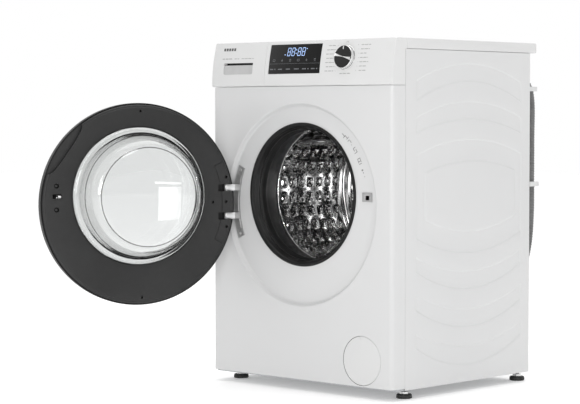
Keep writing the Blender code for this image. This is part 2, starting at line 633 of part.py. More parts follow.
bo = belt_outline(PULLEY_R + 0.0034, MOTOR_PULLEY_R + 0.0034, PORT_Z, MOTOR_Z)
bi = belt_outline(PULLEY_R + 0.0004, MOTOR_PULLEY_R + 0.0004, PORT_Z, MOTOR_Z)
bm = bmesh.new()
loops = []
for pts, y in ((bo, 0.4880), (bo, 0.4990), (bi, 0.4990), (bi, 0.4880)):
    loops.append([bm.verts.new((x, y, z)) for x, z in pts])
for a, b in zip(loops, loops[1:] + loops[:1]):
    for k in range(len(bo)):
        j = (k + 1) % len(bo)
        bm.faces.new((a[k], a[j], b[j], b[k]))
add("drive_belt", bm, "rubber_black")

# ---------------------------------------------------------------- drum
add("drum_shell", turn([(MOUTH_R, DRUM_FRONT), (0.1668, 0.0965), (0.1700, 0.0985), (0.2360, 0.1005), (DRUM_R, 0.1060),
                        (DRUM_R, DRUM_BACK), (0.0, DRUM_BACK), (0.0, DRUM_BACK - 0.0016),
                        (DRUM_R - 0.0015, DRUM_BACK - 0.0016), (DRUM_R - 0.0015, 0.1068),
                        (0.2355, 0.1021), (MOUTH_R, 0.1001)], 40, 0.0, PORT_Z), "stainless")
spider = add("drum_spider", cyl_bm(0.0420, (0, DRUM_BACK + 0.0004, PORT_Z), (0, 0.4430, PORT_Z), 24), "cast_aluminium")
arms = []
for k in range(3):
    b = box_bm(0.0100, 0.2250, DRUM_BACK + 0.0004, 0.4400, -0.0160, 0.0160)
    bmesh.ops.transform(b, matrix=Matrix.Translation((0, 0, PORT_Z)) @ Matrix.Rotation(math.radians(90 + 120 * k), 4, 'Y'), verts=b.verts)
    arms.append(temp(b))
arms.append(temp(cyl_bm(0.0150, (0, 0.4350, PORT_Z), (0, 0.5060, PORT_Z), 24)))
boolean(spider, arms, 'UNION')
add("drum_pulley", turn([(0.0153, 0.4850), (0.0300, 0.4860), (0.1400, 0.4920), (0.1430, 0.4860), (PULLEY_R, 0.4860),
                         (PULLEY_R, 0.5010), (0.1430, 0.5010), (0.1400, 0.4950), (0.0300, 0.5010), (0.0153, 0.5030)], 28, 0.0, PORT_Z),
    "cast_aluminium")

LIFTER = [8.0, 128.0, 248.0]       # degrees round the drum
for k, deg in enumerate(LIFTER):
    bm = bmesh.new()
    sect = [(-0.030, 0.0), (-0.020, 0.018), (-0.008, 0.042), (0.008, 0.042), (0.020, 0.018), (0.030, 0.0)]
    ring = []
    for y, f in ((0.1180, 0.70), (0.1300, 1.0), (0.4050, 1.0), (0.4200, 0.75)):
        row = []
        for u, v in sect:
            base = DRUM_R - 0.0015 - 0.0022
            row.append(bm.verts.new((u * (0.6 + 0.4 * f), y, -(base - v * f) if v else -math.sqrt(base ** 2 - u * u))))
        ring.append(row)
    for a, b in zip(ring[:-1], ring[1:]):
        for i in range(len(sect)):
            j = (i + 1) % len(sect)
            bm.faces.new((a[i], a[j], b[j], b[i]))
    bm.faces.new(ring[0])
    bm.faces.new(ring[-1])
    bmesh.ops.transform(bm, matrix=Matrix.Translation((0, 0, PORT_Z)) @ Matrix.Rotation(math.radians(deg), 4, 'Y'), verts=bm.verts)
    add("lifter_%d" % (k + 1), bm, "stainless")

# ---------------------------------------------------------------- gasket, from panel to tub
add("gasket", turn([(GASKET_R, 0.0086), (GASKET_R, 0.0115), (PORT_R - 0.0014, 0.0115), (PORT_R - 0.0014, 0.0138), (0.1742, 0.0138),
                    (0.1740, 0.0190), (0.1780, 0.0400), (0.1745, 0.0640), (0.1765, 0.0660), (0.1765, 0.0790), (0.1729, 0.0790),
                    (0.1729, 0.0664), (0.1570, 0.0480), (0.1700, 0.0400), (0.1590, 0.0255), (0.1660, 0.0086)], 36, 0.0, PORT_Z),
    "rubber_grey")

# ---------------------------------------------------------------- suspension dampers and inner hoses
for name, s in (("damper_left", -1), ("damper_right", 1)):
    add(name, turn_z([(0.0, BASE_Z + 0.0018), (0.0150, BASE_Z + 0.0018), (0.0150, 0.1450), (0.0060, 0.1450), (0.0060, 0.2740), (0.0, 0.2740)],
                     14, s * 0.185, 0.300), "grey_plastic")
add("sump_hose", turn_z([(0.0, 0.1303), (0.0190, 0.1303), (0.0190, 0.1500), (0.0220, 0.1600), (0.0190, 0.1700), (0.0220, 0.1800),
                         (0.0190, 0.1900), (0.0190, 0.2310), (0.0, 0.2310)], 14, 0.135, 0.170), "rubber_black")
add("fill_hose", turn_z([(0.0, 0.6760), (0.0170, 0.6760), (0.0170, 0.6900), (0.0200, 0.6980), (0.0170, 0.7060), (0.0200, 0.7140),
                         (0.0170, 0.7220), (0.0170, 0.7480), (0.0, 0.7480)], 14, -0.200, 0.270), "rubber_black")

# ---------------------------------------------------------------- pump, filter and flap
pump = add("drain_pump", box_bm(0.1050, 0.2000, 0.1200, 0.2100, 0.0420, 0.1300, 0.004, 1), "grey_plastic")
boolean(pump, [temp(cyl_bm(0.0300, (0.1525, 0.2050, 0.0800), (0.1525, 0.2600, 0.0800), 24)),
               temp(box_bm(0.1300, 0.1750, 0.1300, 0.2000, BASE_Z + 0.0018, 0.0450))], 'UNION')
fx, fz = FILTER
fh = add("filter_housing", turn([(0.0572, 0.0042), (0.0572, 0.0500), (0.0380, 0.0500), (0.0380, 0.0900), (0.0, 0.0900), (0.0, 0.0860), (0.0345, 0.0860),
                                 (0.0345, 0.0465), (0.0545, 0.0465), (0.0545, 0.0042)], 24, fx, fz), "grey_plastic")
cap = add("filter_cap", turn([(0.0, 0.0300), (0.0300, 0.0300), (0.0320, 0.0320), (0.0320, 0.0470), (0.0300, 0.0490), (0.0300, 0.0780),
                              (0.0, 0.0780)], 20, fx, fz), "grey_plastic")
boolean(cap, [temp(box_bm(fx - 0.0260, fx + 0.0260, 0.0180, 0.0310, fz - 0.0045, fz + 0.0045, 0.001, 1))], 'UNION')
flap = add("filter_cover", turn([(0.0, -0.0004), (FILTER_R - 0.0012, -0.0004), (FILTER_R, 0.0008), (FILTER_R, 0.0030), (0.0, 0.0030)],
                                32, fx, fz), "white_plastic")

# ---------------------------------------------------------------- door lock and hinge bracket
lp = add("latch_plate", box_bm(0.1945, 0.2240, 0.0095, 0.0117, 0.4648, 0.4868, 0.0008, 1), "galvanised")
boolean(lp, [temp(box_bm(0.2050, 0.2160, 0.0, 0.03, 0.4690, 0.4795))])
dl = add("door_lock", box_bm(0.1900, 0.2300, 0.0136, 0.0420, 0.4350, 0.5100, 0.002, 1), "dark_plastic")
boolean(dl, [temp(box_bm(0.2010, 0.2190, 0.0, 0.0400, 0.4680, 0.4820))])

hb = add("hinge_bracket", turn([(0.2130, 0.0095), (0.2340, 0.0095), (0.2340, 0.0117), (0.2130, 0.0117)], 14, 0.0, DOOR_Z, 156.5, 202.5),
         "galvanised")
hx, hy = HINGE


def arm_outline(r, foot0, foot1, y):
    """Hinge arm from above: a round eye at the axis, running back to a foot on the bracket."""
    pts = []
    for k in range(10):
        t = math.radians(150 + 190 * k / 9)
        pts.append((hx + r * math.cos(t), hy + r * math.sin(t)))
    return pts + [(foot1, y), (foot0, y)]


arms = []
for az in ARM_Z:
    bm = bmesh.new()
    outline = arm_outline(0.0055, -0.2240, -0.2095, 0.0105)
    lo = [bm.verts.new((x, y, az - 0.0078)) for x, y in outline]
    hi = [bm.verts.new((x, y, az + 0.0078)) for x, y in outline]
    bm.faces.new(lo)
    bm.faces.new(list(reversed(hi)))
    for i in range(len(outline)):
        j = (i + 1) % len(outline)
        bm.faces.new((lo[i], lo[j], hi[j], hi[i]))
    arms.append(temp(bm))
boolean(hb, arms, 'UNION')
boolean(hb, [temp(cyl_bm(0.0033, (hx, hy, 0.38), (hx, hy, 0.54), 12))])

# ---------------------------------------------------------------- door, modelled closed and then opened
D, G = DOOR_Z, GLASS_Z
turn_open = Matrix.Translation((hx, hy, 0)) @ Matrix.Rotation(math.radians(-DOOR_OPEN), 4, 'Z') @ Matrix.Translation((-hx, -hy, 0))

df = add("door_front", turn([(DOOR_R, -0.0040, D), (DOOR_R, -0.0220, D), (0.2445, -0.0310, D), (0.2370, -0.0365, D), (0.1720, -0.0430, G),
                             (0.1650, -0.0425, G), (0.1650, -0.0395, G), (0.1720, -0.0400, G), (0.2340, -0.0335, D), (0.2415, -0.0290, D),
                             (0.2441, -0.0215, D), (0.2441, -0.0040, D)], 48), "dark_plastic")
di = add("door_inner", turn([(0.2405, -0.0270, D), (0.2437, -0.0200, D), (0.2437, -0.0020, D), (0.2395, 0.0040, D), (0.1740, 0.0040, G), (0.1680, 0.0020, G),
                             (0.1680, -0.0080, G), (0.2000, -0.0080, D), (0.2000, -0.0270, D)], 48), "dark_plastic")
cuts = []
for az in ARM_Z:
    cuts.append(temp(box_bm(-0.2600, hx + 0.0290, -0.0262, 0.0100, az - 0.0088, az + 0.0088)))
cuts.append(temp(cyl_bm(0.0033, (hx, hy, 0.4074), (hx, hy, 0.5008), 12)))
cuts.append(temp(box_bm(0.1970, 0.2190, -0.0200, 0.0100, 0.4680, 0.4790)))
cuts.append(temp(turn([(0.2250, -0.0200), (0.2500, -0.0200), (0.2500, 0.0100), (0.2250, 0.0100)], 10, 0.0, D, 16, 54)))
boolean(di, cuts)
boolean(df, [temp(box_bm(-0.2600, hx + 0.0290, -0.0262, 0.0100, az - 0.0088, az + 0.0088)) for az in ARM_Z]
        + [temp(cyl_bm(0.0033, (hx, hy, 0.4074), (hx, hy, 0.5008), 12))])

add("door_glass", turn([(0.0, 0.0830, G), (0.1100, 0.0830, G), (0.1255, 0.0800, G), (0.1345, 0.0740, G), (0.1500, 0.0300, G),
                        (0.1530, 0.0140, G), (0.1560, 0.0085, G), (GLASS_R, 0.0030, G), (GLASS_R, -0.0075, G), (0.1560, -0.0035, G),
                        (0.1500, 0.0045, G), (0.1460, 0.0300, G), (0.1310, 0.0700, G), (0.1235, 0.0755, G), (0.1090, 0.0785, G),
                        (0.0, 0.0785, G)], 40), "clear_glass")
add("door_window", turn([(0.0, -0.0475, G), (0.1000, -0.0462, G), (0.1644, -0.0425, G), (0.1644, -0.0395, G), (0.1000, -0.0432, G),
                         (0.0, -0.0445, G)], 32), "clear_glass")
add("hinge_pin", cyl_bm(0.0029, (hx, hy, 0.4078), (hx, hy, 0.5004), 12), "steel")
hkx, hkz = HOOK
hk = add("door_hook", prism_x([(-0.0190, hkz - 0.0035), (-0.0190, hkz + 0.0035), (0.0300, hkz + 0.0035), (0.0330, hkz - 0.0005),
                               (0.0300, hkz - 0.0035), (0.0220, hkz - 0.0035), (0.0220, hkz - 0.0010), (0.0120, hkz - 0.0010),
                               (0.0120, hkz - 0.0035)], hkx - 0.0025, hkx + 0.0045), "steel")
for name in ("door_front", "door_inner", "door_glass", "door_window", "hinge_pin", "door_hook"):
    PIECES[name].data.transform(turn_open)

# ---------------------------------------------------------------- levelling feet
for name, (x, y) in zip(("foot_front_left", "foot_front_right", "foot_back_left", "foot_back_right"), FEET):
    bm = turn_z([(0.0, 0.0), (0.0180, 0.0), (0.0190, 0.0020), (0.0175, 0.0100), (0.0100, 0.0105), (0.0100, 0.0165), (0.0060, 0.0167),
                 (0.0060, 0.0600), (0.0, 0.0600)], 16, x, y)
    add(name, bm, "rubber_black")

# ---------------------------------------------------------------- rear: inlet, cable gland, hose and clips
iv = add("inlet_valve", cyl_bm(0.0130, (-0.2300, 0.5020, 0.7700), (-0.2300, 0.5560, 0.7700), 20), "grey_plastic")
boolean(iv, [temp(box_bm(-0.2500, -0.2100, 0.4600, 0.5060, 0.7500, 0.7900, 0.003, 1)),
             temp(cyl_bm(0.0200, (-0.2300, 0.5306, 0.7700), (-0.2300, 0.5336, 0.7700), 20))], 'UNION')
boolean(iv, [temp(cyl_bm(0.0095, (-0.2300, 0.5200, 0.7700), (-0.2300, 0.5700, 0.7700), 20))])
add("cord_gland", turn([(0.0040, 0.5240), (0.0085, 0.5240), (0.0085, 0.5306), (0.0130, 0.5306), (0.0110, 0.5420), (0.0040, 0.5420)],
                       20, -0.1600, 0.7700), "rubber_black")

HOSE_Y = 0.5490
HOSE_X = 0.2850
BEND = 0.0900            # radius of the hose's bend over the top
BEND_X, BEND_Z = HOSE_X - BEND, 0.7000
hose_pts = [(0.1525, 0.2610, 0.0800), (0.1535, 0.3200, 0.0800), (0.1680, 0.3800, 0.0840), (0.1880, 0.4400, 0.0980),
            (0.2080, 0.4900, 0.1290), (0.2270, 0.5250, 0.1780), (0.2440, 0.5430, 0.2300), (0.2630, HOSE_Y, 0.2850),
            (0.2790, HOSE_Y, 0.3500), (HOSE_X, HOSE_Y, 0.4300), (HOSE_X, HOSE_Y, 0.5200), (HOSE_X, HOSE_Y, 0.6100)]
for deg in range(0, 181, 30):
    t = math.radians(deg)
    hose_pts.append((BEND_X + BEND * math.cos(t), HOSE_Y, BEND_Z + BEND * math.sin(t)))
hose_pts += [(BEND_X - BEND, HOSE_Y, 0.6100), (BEND_X - BEND, HOSE_Y, 0.5000), (BEND_X - BEND, HOSE_Y, 0.3600)]
hp, hose_len = smooth_path(hose_pts, 60)
tube("drain_hose", [tuple(p) for p in hp], HOSE_R, "hose_grey", 2)


def clip(name, deg, x, z):
    """Moulded clip: a foot on the back panel and two fingers round the hose, whose run leans by deg."""
    ob = add(name, box_bm(x - 0.0165, x + 0.0165, 0.5305, 0.5650, z - 0.0060, z + 0.0060, 0.001, 1), "white_plastic")
    d = Vector((-math.sin(math.radians(deg)), 0, math.cos(math.radians(deg)))) * 0.03
    c = Vector((x, HOSE_Y, z))
    boolean(ob, [temp(cyl_bm(HOSE_R + 0.0018, c - d, c + d, 16)),
                 temp(box_bm(x - 0.0080, x + 0.0080, HOSE_Y, 0.58, z - 0.02, z + 0.02))])
    return ob


lean = 23.0
clip("hose_clip_1", lean, BEND_X + BEND * math.cos(math.radians(lean)), BEND_Z + BEND * math.sin(math.radians(lean)))
clip("hose_clip_2", 0.0, HOSE_X - 0.0006, 0.4960)
clip("hose_clip_3", 0.0, BEND_X - BEND, 0.6150)

# ---------------------------------------------------------------- origins on the joint axes, then the frame
PIVOT = {
    "door_front": (hx, hy, DOOR_Z), "door_inner": (hx, hy, DOOR_Z), "door_glass": (hx, hy, DOOR_Z), "door_window": (hx, hy, DOOR_Z),
    "hinge_pin": (hx, hy, DOOR_Z),
    "door_hook": tuple(turn_open @ Vector((hkx + 0.0010, -0.0150, hkz))),
    "program_knob": tuple(KP),
    "filter_cover": (fx, 0.0000, fz - FILTER_R + 0.0012),
    "filter_cap": (fx, 0.0300, fz),
    "motor_pulley": (0.0, 0.4900, MOTOR_Z),
    "drum_shell": (0.0, 0.26, PORT_Z), "drum_spider": (0.0, 0.26, PORT_Z), "drum_pulley": (0.0, 0.26, PORT_Z),
    "lifter_1": (0.0, 0.26, PORT_Z), "lifter_2": (0.0, 0.26, PORT_Z), "lifter_3": (0.0, 0.26, PORT_Z),
}
for name, ob in PIECES.items():
    p = Vector(PIVOT.get(name, (0.0, 0.0, 0.0)))
    if ob.type == 'MESH':
        ob.data.transform(Matrix.Translation(-p))
        ob.location = p + ORIGIN
    else:
        ob.location = ORIGIN
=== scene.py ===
import math
import bpy
import bmesh
import numpy as np
from mathutils import Matrix, Vector


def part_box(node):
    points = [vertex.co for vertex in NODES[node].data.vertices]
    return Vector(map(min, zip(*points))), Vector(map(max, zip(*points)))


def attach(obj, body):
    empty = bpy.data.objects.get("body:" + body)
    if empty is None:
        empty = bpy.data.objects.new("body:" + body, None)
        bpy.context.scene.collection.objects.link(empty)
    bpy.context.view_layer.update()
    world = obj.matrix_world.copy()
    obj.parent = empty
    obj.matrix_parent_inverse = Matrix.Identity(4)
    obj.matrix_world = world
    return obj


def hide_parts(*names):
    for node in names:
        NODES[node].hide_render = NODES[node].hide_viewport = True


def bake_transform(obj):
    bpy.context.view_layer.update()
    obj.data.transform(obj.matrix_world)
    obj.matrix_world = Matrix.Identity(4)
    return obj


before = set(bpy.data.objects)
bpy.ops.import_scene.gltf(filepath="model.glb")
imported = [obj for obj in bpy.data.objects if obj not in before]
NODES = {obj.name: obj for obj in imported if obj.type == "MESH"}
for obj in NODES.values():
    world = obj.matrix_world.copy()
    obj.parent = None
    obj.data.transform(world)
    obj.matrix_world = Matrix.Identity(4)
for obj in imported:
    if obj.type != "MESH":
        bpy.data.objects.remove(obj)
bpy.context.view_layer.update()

# ------------------------------------------------------------------ where the cabinet stands in the frame
_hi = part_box("side_right")[1]
O = Vector((_hi.x - 0.2975, _hi.y - 0.530, 0.0))      # cabinet coordinates -> frame
W2, HEIGHT, BACK, LID_BACK = 0.2975, 0.850, 0.530, 0.558
BASE_Z, LID_Z, WRAP, CORNER = 0.0224, 0.8245, 0.045, 0.013
FASCIA_Z, SEAM_Y, DRAWER_X = 0.7398, 0.0496, -0.1146
PORT_Z, PORT_R, DISH_Y, DISH_R, GASKET_R = 0.4766, 0.1710, 0.0120, 0.2462, 0.1748
DRUM_R, DRUM_FRONT, DRUM_BACK, MOUTH_R = 0.2415, 0.0985, 0.4300, 0.1642
DOOR_Z, DOOR_R, GLASS_Z, GLASS_R = 0.4517, 0.2474, 0.4722, 0.1670
HX, HY, DOOR_OPEN = -0.2320, -0.0180, 115.26
ARM_Z = (0.4892, 0.4190)
HOOK = (0.2080, 0.4735)
KNOB = (0.1475, 0.8060)
KNOB_R = 0.0278
FX, FZ, FILTER_R = 0.2025, 0.0890, 0.0584
FEET = [(-0.271, 0.074), (0.271, 0.074), (-0.271, 0.517), (0.271, 0.517)]
OPEN = Matrix.Translation((HX, HY, 0)) @ Matrix.Rotation(math.radians(-DOOR_OPEN), 4, 'Z') @ Matrix.Translation((-HX, -HY, 0))


def face_y(z):
    u = z - 0.755
    return -0.0034 + 0.0453 * u + 1.317 * u * u


def face_slope(z):
    return 0.0453 + 2 * 1.317 * (z - 0.755)


# ------------------------------------------------------------------ materials
class Mat:
    """Small helper round a Principled node tree in object coordinates."""

    def __init__(self, name):
        self.m = bpy.data.materials.new(name)
        self.m.use_nodes = True
        self.t = self.m.node_tree
        self.n = self.t.nodes
        self.l = self.t.links
        self.b = self.n["Principled BSDF"]
        self.co = self.n.new("ShaderNodeTexCoord").outputs["Object"]

    def set(self, **kw):
        names = {"rough": "Roughness", "metal": "Metallic", "spec": "Specular IOR Level", "ior": "IOR", "coat": "Coat Weight",
                 "coat_rough": "Coat Roughness", "trans": "Transmission Weight", "alpha": "Alpha", "aniso": "Anisotropic",
                 "sheen": "Sheen Weight", "estr": "Emission Strength"}
        for k, v in kw.items():
            self.b.inputs[names[k]].default_value = v
        return self

    def noise(self, scale, detail=3.0, rough=0.5, stretch=None):
        tex = self.n.new("ShaderNodeTexNoise")
        tex.inputs["Scale"].default_value = scale
        tex.inputs["Detail"].default_value = detail
        tex.inputs["Roughness"].default_value = rough
        src = self.co
        if stretch:
            mp = self.n.new("ShaderNodeMapping")
            mp.inputs["Scale"].default_value = stretch
            self.l.new(self.co, mp.inputs["Vector"])
            src = mp.outputs["Vector"]
        self.l.new(src, tex.inputs["Vector"])
        return tex.outputs["Fac"]

    def ramp(self, fac, stops):
        r = self.n.new("ShaderNodeValToRGB")
        el = r.color_ramp.elements
        while len(el) < len(stops):
            el.new(0.5)
        for e, (p, c) in zip(el, stops):
            e.position = p
            e.color = (*c, 1.0) if hasattr(c, "__len__") else (c, c, c, 1.0)
        self.l.new(fac, r.inputs["Fac"])
        return r.outputs["Color"]

    def colour(self, fac, c0, c1, p0=0.35, p1=0.65):
        self.l.new(self.ramp(fac, [(p0, c0), (p1, c1)]), self.b.inputs["Base Color"])
        return self

    def rough(self, fac, a, b, p0=0.3, p1=0.7):
        self.l.new(self.ramp(fac, [(p0, a), (p1, b)]), self.b.inputs["Roughness"])
        return self

    def bump(self, fac, strength, distance):
        bp = self.n.new("ShaderNodeBump")
        bp.inputs["Strength"].default_value = strength
        bp.inputs["Distance"].default_value = distance
        self.l.new(fac, bp.inputs["Height"])
        old = self.b.inputs["Normal"].links
        if old:
            self.l.new(old[0].from_socket, bp.inputs["Normal"])
        self.l.new(bp.outputs["Normal"], self.b.inputs["Normal"])
        return self


def g(v):
    return (v, v, v)


M = {}
m = Mat("white_enamel").set(coat=0.15, coat_rough=0.15)
m.colour(m.noise(2.0, 2), (0.618, 0.620, 0.622), (0.638, 0.639, 0.639)).rough(m.noise(30, 3), 0.30, 0.38)
m.bump(m.noise(900, 2), 0.06, 0.00012)
M["enamel"] = m.m
m = Mat("white_plastic")
m.colour(m.noise(3.0, 2), (0.632, 0.634, 0.633), (0.655, 0.656, 0.654)).rough(m.noise(60, 3), 0.38, 0.48)
m.bump(m.noise(2600, 2), 0.10, 0.00010)
M["white"] = m.m
m = Mat("lid_laminate")
m.colour(m.noise(5.0, 4), (0.635, 0.635, 0.635), (0.66, 0.66, 0.658)).rough(m.noise(90, 3), 0.42, 0.52)
m.bump(m.noise(1300, 3), 0.12, 0.00012)
M["lid"] = m.m
m = Mat("dark_plastic").set(spec=0.42)
m.colour(m.noise(7.0, 3), g(0.013), g(0.018)).rough(m.noise(80, 3), 0.42, 0.55)
m.bump(m.noise(2200, 2), 0.14, 0.00012)
M["dark"] = m.m
m = Mat("dark_gloss_plastic").set(spec=0.25)
m.colour(m.noise(6.0, 2), g(0.010), g(0.014)).rough(m.noise(60, 2), 0.42, 0.52)
m.bump(m.noise(1500, 2), 0.04, 0.0001)
M["darkgloss"] = m.m
m = Mat("black_glass").set(spec=0.20)
m.colour(m.noise(4.0, 2), g(0.007), g(0.010)).rough(m.noise(40, 2), 0.07, 0.11)
M["blackglass"] = m.m
m = Mat("clear_glass").set(trans=1.0, ior=1.50)
at_ = m.n.new("ShaderNodeAttribute")
at_.attribute_name = "glass_tint_and_shade"
sum_ = m.n.new("ShaderNodeMath")
sum_.operation = 'MULTIPLY_ADD'
m.l.new(m.noise(8.0, 2), sum_.inputs[0])
sum_.inputs[1].default_value = 0.03
m.l.new(at_.outputs["Fac"], sum_.inputs[2])
# painted shade: the low end of the mask turns the glass near black in thin rings where its edges turn, and the flange
# and wall greyer than the clear face
m.l.new(m.ramp(sum_.outputs[0], [(0.0, (0.06, 0.06, 0.06)), (0.30, (0.08, 0.08, 0.08)), (0.40, (0.64, 0.65, 0.645)), (0.62, (0.70, 0.71, 0.705)), (1.0, (0.79, 0.80, 0.797))]),
        m.b.inputs["Base Color"])
m.rough(m.noise(20, 2), 0.0, 0.010)
M["glass"] = m.m
m = Mat("clear_window").set(trans=1.0, ior=1.45)
m.colour(m.noise(3.0, 2), (0.955, 0.96, 0.96), (0.97, 0.975, 0.975)).rough(m.noise(20, 2), 0.0, 0.02)
M["window"] = m.m
m = Mat("gasket_rubber").set(spec=0.22)
m.colour(m.noise(25.0, 4), g(0.006), g(0.010)).rough(m.noise(70, 4), 0.32, 0.48)
m.bump(m.noise(500, 3), 0.20, 0.0002)
M["rubber"] = m.m
m = Mat("black_rubber")
m.colour(m.noise(20.0, 4), g(0.014), g(0.022)).rough(m.noise(60, 4), 0.55, 0.75)
m.bump(m.noise(700, 3), 0.25, 0.0002)
M["blackrubber"] = m.m
m = Mat("polished_stainless").set(metal=1.0)
bk_ = m.n.new("ShaderNodeAttribute")
bk_.attribute_name = "drum_back_shade"
mad_ = m.n.new("ShaderNodeMath")
mad_.operation = 'MULTIPLY_ADD'
m.l.new(m.noise(12.0, 3), mad_.inputs[0])
mad_.inputs[1].default_value = 0.25
m.l.new(bk_.outputs["Fac"], mad_.inputs[2])
# painted shade: this steel is darker than the lip's so that the drum's inside reads dark, and the back wall (mask value
# near 1) is darker again
m.l.new(m.ramp(mad_.outputs[0], [(0.08, g(0.36)), (0.20, g(0.42)), (0.9, g(0.20)), (1.0, g(0.23))]), m.b.inputs["Base Color"])
m.l.new(m.ramp(mad_.outputs[0], [(0.08, g(0.085)), (0.20, g(0.115)), (0.9, g(0.13)), (1.0, g(0.16))]), m.b.inputs["Roughness"])
M["stainless"] = m.m
m = Mat("bright_steel").set(metal=1.0)
m.colour(m.noise(30.0, 3), g(0.62), g(0.74)).rough(m.noise(120, 3, stretch=(1, 1, 0.1)), 0.22, 0.34)
m.bump(m.noise(900, 3, stretch=(1, 1, 0.08)), 0.06, 0.0001)
M["steel"] = m.m
m = Mat("chrome_trim").set(metal=1.0)
m.colour(m.noise(15.0, 2), g(0.78), g(0.86)).rough(m.noise(80, 2), 0.10, 0.18)
M["chrome"] = m.m
m = Mat("galvanised")
m.set(metal=0.85)
vt = m.n.new("ShaderNodeTexVoronoi")
vt.inputs["Scale"].default_value = 190.0
m.l.new(m.co, vt.inputs["Vector"])
sep = m.n.new("ShaderNodeSeparateColor")
m.l.new(vt.outputs["Color"], sep.inputs["Color"])
m.colour(sep.outputs["Red"], (0.42, 0.43, 0.44), (0.47, 0.48, 0.49), 0.1, 0.9).rough(sep.outputs["Green"], 0.42, 0.50, 0.1, 0.9)
m.bump(m.noise(400, 3), 0.06, 0.0001)
M["galv"] = m.m
m = Mat("grey_plate").set(metal=0.6)
m.colour(m.noise(40.0, 3), g(0.36), g(0.44)).rough(m.noise(90, 3), 0.30, 0.42)
m.bump(m.noise(1200, 3), 0.05, 0.0001)
M["greyplate"] = m.m
m = Mat("tub_plastic")
m.colour(m.noise(9.0, 4), (0.50, 0.51, 0.52), (0.57, 0.58, 0.59)).rough(m.noise(80, 3), 0.48, 0.62)
m.bump(m.noise(1100, 3), 0.15, 0.0002)
M["tub"] = m.m
m = Mat("cast_ballast")
m.colour(m.noise(60.0, 8, 0.7), (0.30, 0.295, 0.29), (0.46, 0.455, 0.45)).rough(m.noise(90, 4), 0.75, 0.95)
m.bump(m.noise(250, 6, 0.7), 0.5, 0.0010)
M["ballast"] = m.m
m = Mat("cast_aluminium").set(metal=0.9)
m.colour(m.noise(40.0, 4), g(0.48), g(0.58)).rough(m.noise(120, 3), 0.45, 0.6)
m.bump(m.noise(600, 4), 0.3, 0.0003)
M["castalu"] = m.m
m = Mat("grey_plastic")
m.colour(m.noise(9.0, 3), g(0.20), g(0.25)).rough(m.noise(80, 3), 0.45, 0.6)
m.bump(m.noise(1800, 2), 0.12, 0.0001)
M["greyplastic"] = m.m
m = Mat("blue_plastic")
m.colour(m.noise(9.0, 3), (0.06, 0.17, 0.40), (0.08, 0.21, 0.47)).rough(m.noise(80, 3), 0.38, 0.5)
m.bump(m.noise(1800, 2), 0.10, 0.0001)
M["blue"] = m.m
m = Mat("hose_rubber")
m.colour(m.noise(40.0, 4), g(0.115), g(0.15)).rough(m.noise(90, 3), 0.5, 0.65)
m.bump(m.noise(900, 3), 0.15, 0.0002)
M["hose"] = m.m
m = Mat("printed_grey")
m.colour(m.noise(300.0, 3), g(0.22), g(0.28)).rough(m.noise(200, 2), 0.5, 0.6)
M["print"] = m.m
m = Mat("printed_dark")
m.colour(m.noise(300.0, 3), g(0.075), g(0.10)).rough(m.noise(200, 2), 0.5, 0.6)
M["printdark"] = m.m
m = Mat("printed_grey")
m.colour(m.noise(300.0, 3), g(0.17), g(0.21)).rough(m.noise(200, 2), 0.5, 0.6)
M["faint2"] = m.m
m = Mat("printed_faint")
m.colour(m.noise(300.0, 3), g(0.40), g(0.46)).rough(m.noise(200, 2), 0.5, 0.6)
M["faint"] = m.m
# painted shade: grey for a thin sheet laid in the drawer grip's recess, darkening it where the recess turns away from
# the light
m = Mat("grip_recess_shade_grey")
m.colour(m.noise(40.0, 3), g(0.44), g(0.48)).rough(m.noise(80, 3), 0.36, 0.46)
m.bump(m.noise(2600, 2), 0.10, 0.00010)
M["grip_recess_shade"] = m.m
m = Mat("pale_steel").set(metal=0.55)
m.colour(m.noise(30.0, 3), g(0.70), g(0.80)).rough(m.noise(120, 3, stretch=(1, 1, 0.1)), 0.25, 0.36)
m.bump(m.noise(900, 3, stretch=(1, 1, 0.08)), 0.05, 0.0001)
M["palesteel"] = m.m
# painted shadow: near-black for the block that fills the drawer grip's undercut
m = Mat("grip_undercut_shadow_dark")
m.colour(m.noise(60.0, 3), g(0.012), g(0.018)).rough(m.noise(80, 3), 0.6, 0.8)
M["undercut_shadow"] = m.m


def emit(name, colour, strength):
    mm = Mat(name)
    mm.colour(mm.noise(200, 2), colour, tuple(min(1.0, c * 1.05) for c in colour)).rough(mm.noise(80, 2), 0.3, 0.4)
    mm.b.inputs["Emission Color"].default_value = (*colour, 1)
    mm.b.inputs["Emission Strength"].default_value = strength
    return mm.m


M["led"] = emit("display_digits", (0.42, 0.60, 1.0), 0.52)
M["ledgrey"] = emit("display_marks", (0.16, 0.165, 0.175), 0.10)


# ------------------------------------------------------------------ mesh helpers (cabinet coordinates)
def obj_from(bm, name, recalc=True):
    if recalc:
        bmesh.ops.recalc_face_normals(bm, faces=bm.faces)
    me = bpy.data.meshes.new(name)
    bm.to_mesh(me)
    bm.free()
    ob = bpy.data.objects.new(name, me)
    bpy.context.scene.collection.objects.link(ob)
    return ob


def bake(ob):
    dg = bpy.context.evaluated_depsgraph_get()
    dg.update()
    me = bpy.data.meshes.new_from_object(ob.evaluated_get(dg))
    old = ob.data
    ob.modifiers.clear()
    ob.data = me
    me.name = ob.name
    bpy.data.meshes.remove(old)
    return ob


def boolean(ob, others, op='DIFFERENCE'):
    for o in others:
        md = ob.modifiers.new("b", 'BOOLEAN')
        md.operation = op
        md.solver = 'EXACT'
        md.object = o
    bake(ob)
    for o in others:
        me = o.data
        bpy.data.objects.remove(o, do_unlink=True)
        bpy.data.meshes.remove(me)
    return ob


def bevel(ob, width, seg=2, angle=35.0):
    md = ob.modifiers.new("bevel", 'BEVEL')
    md.width = width
    md.segments = seg
    md.limit_method = 'ANGLE'
    md.angle_limit = math.radians(angle)
    md.harden_normals = False
    bake(ob)
    return ob


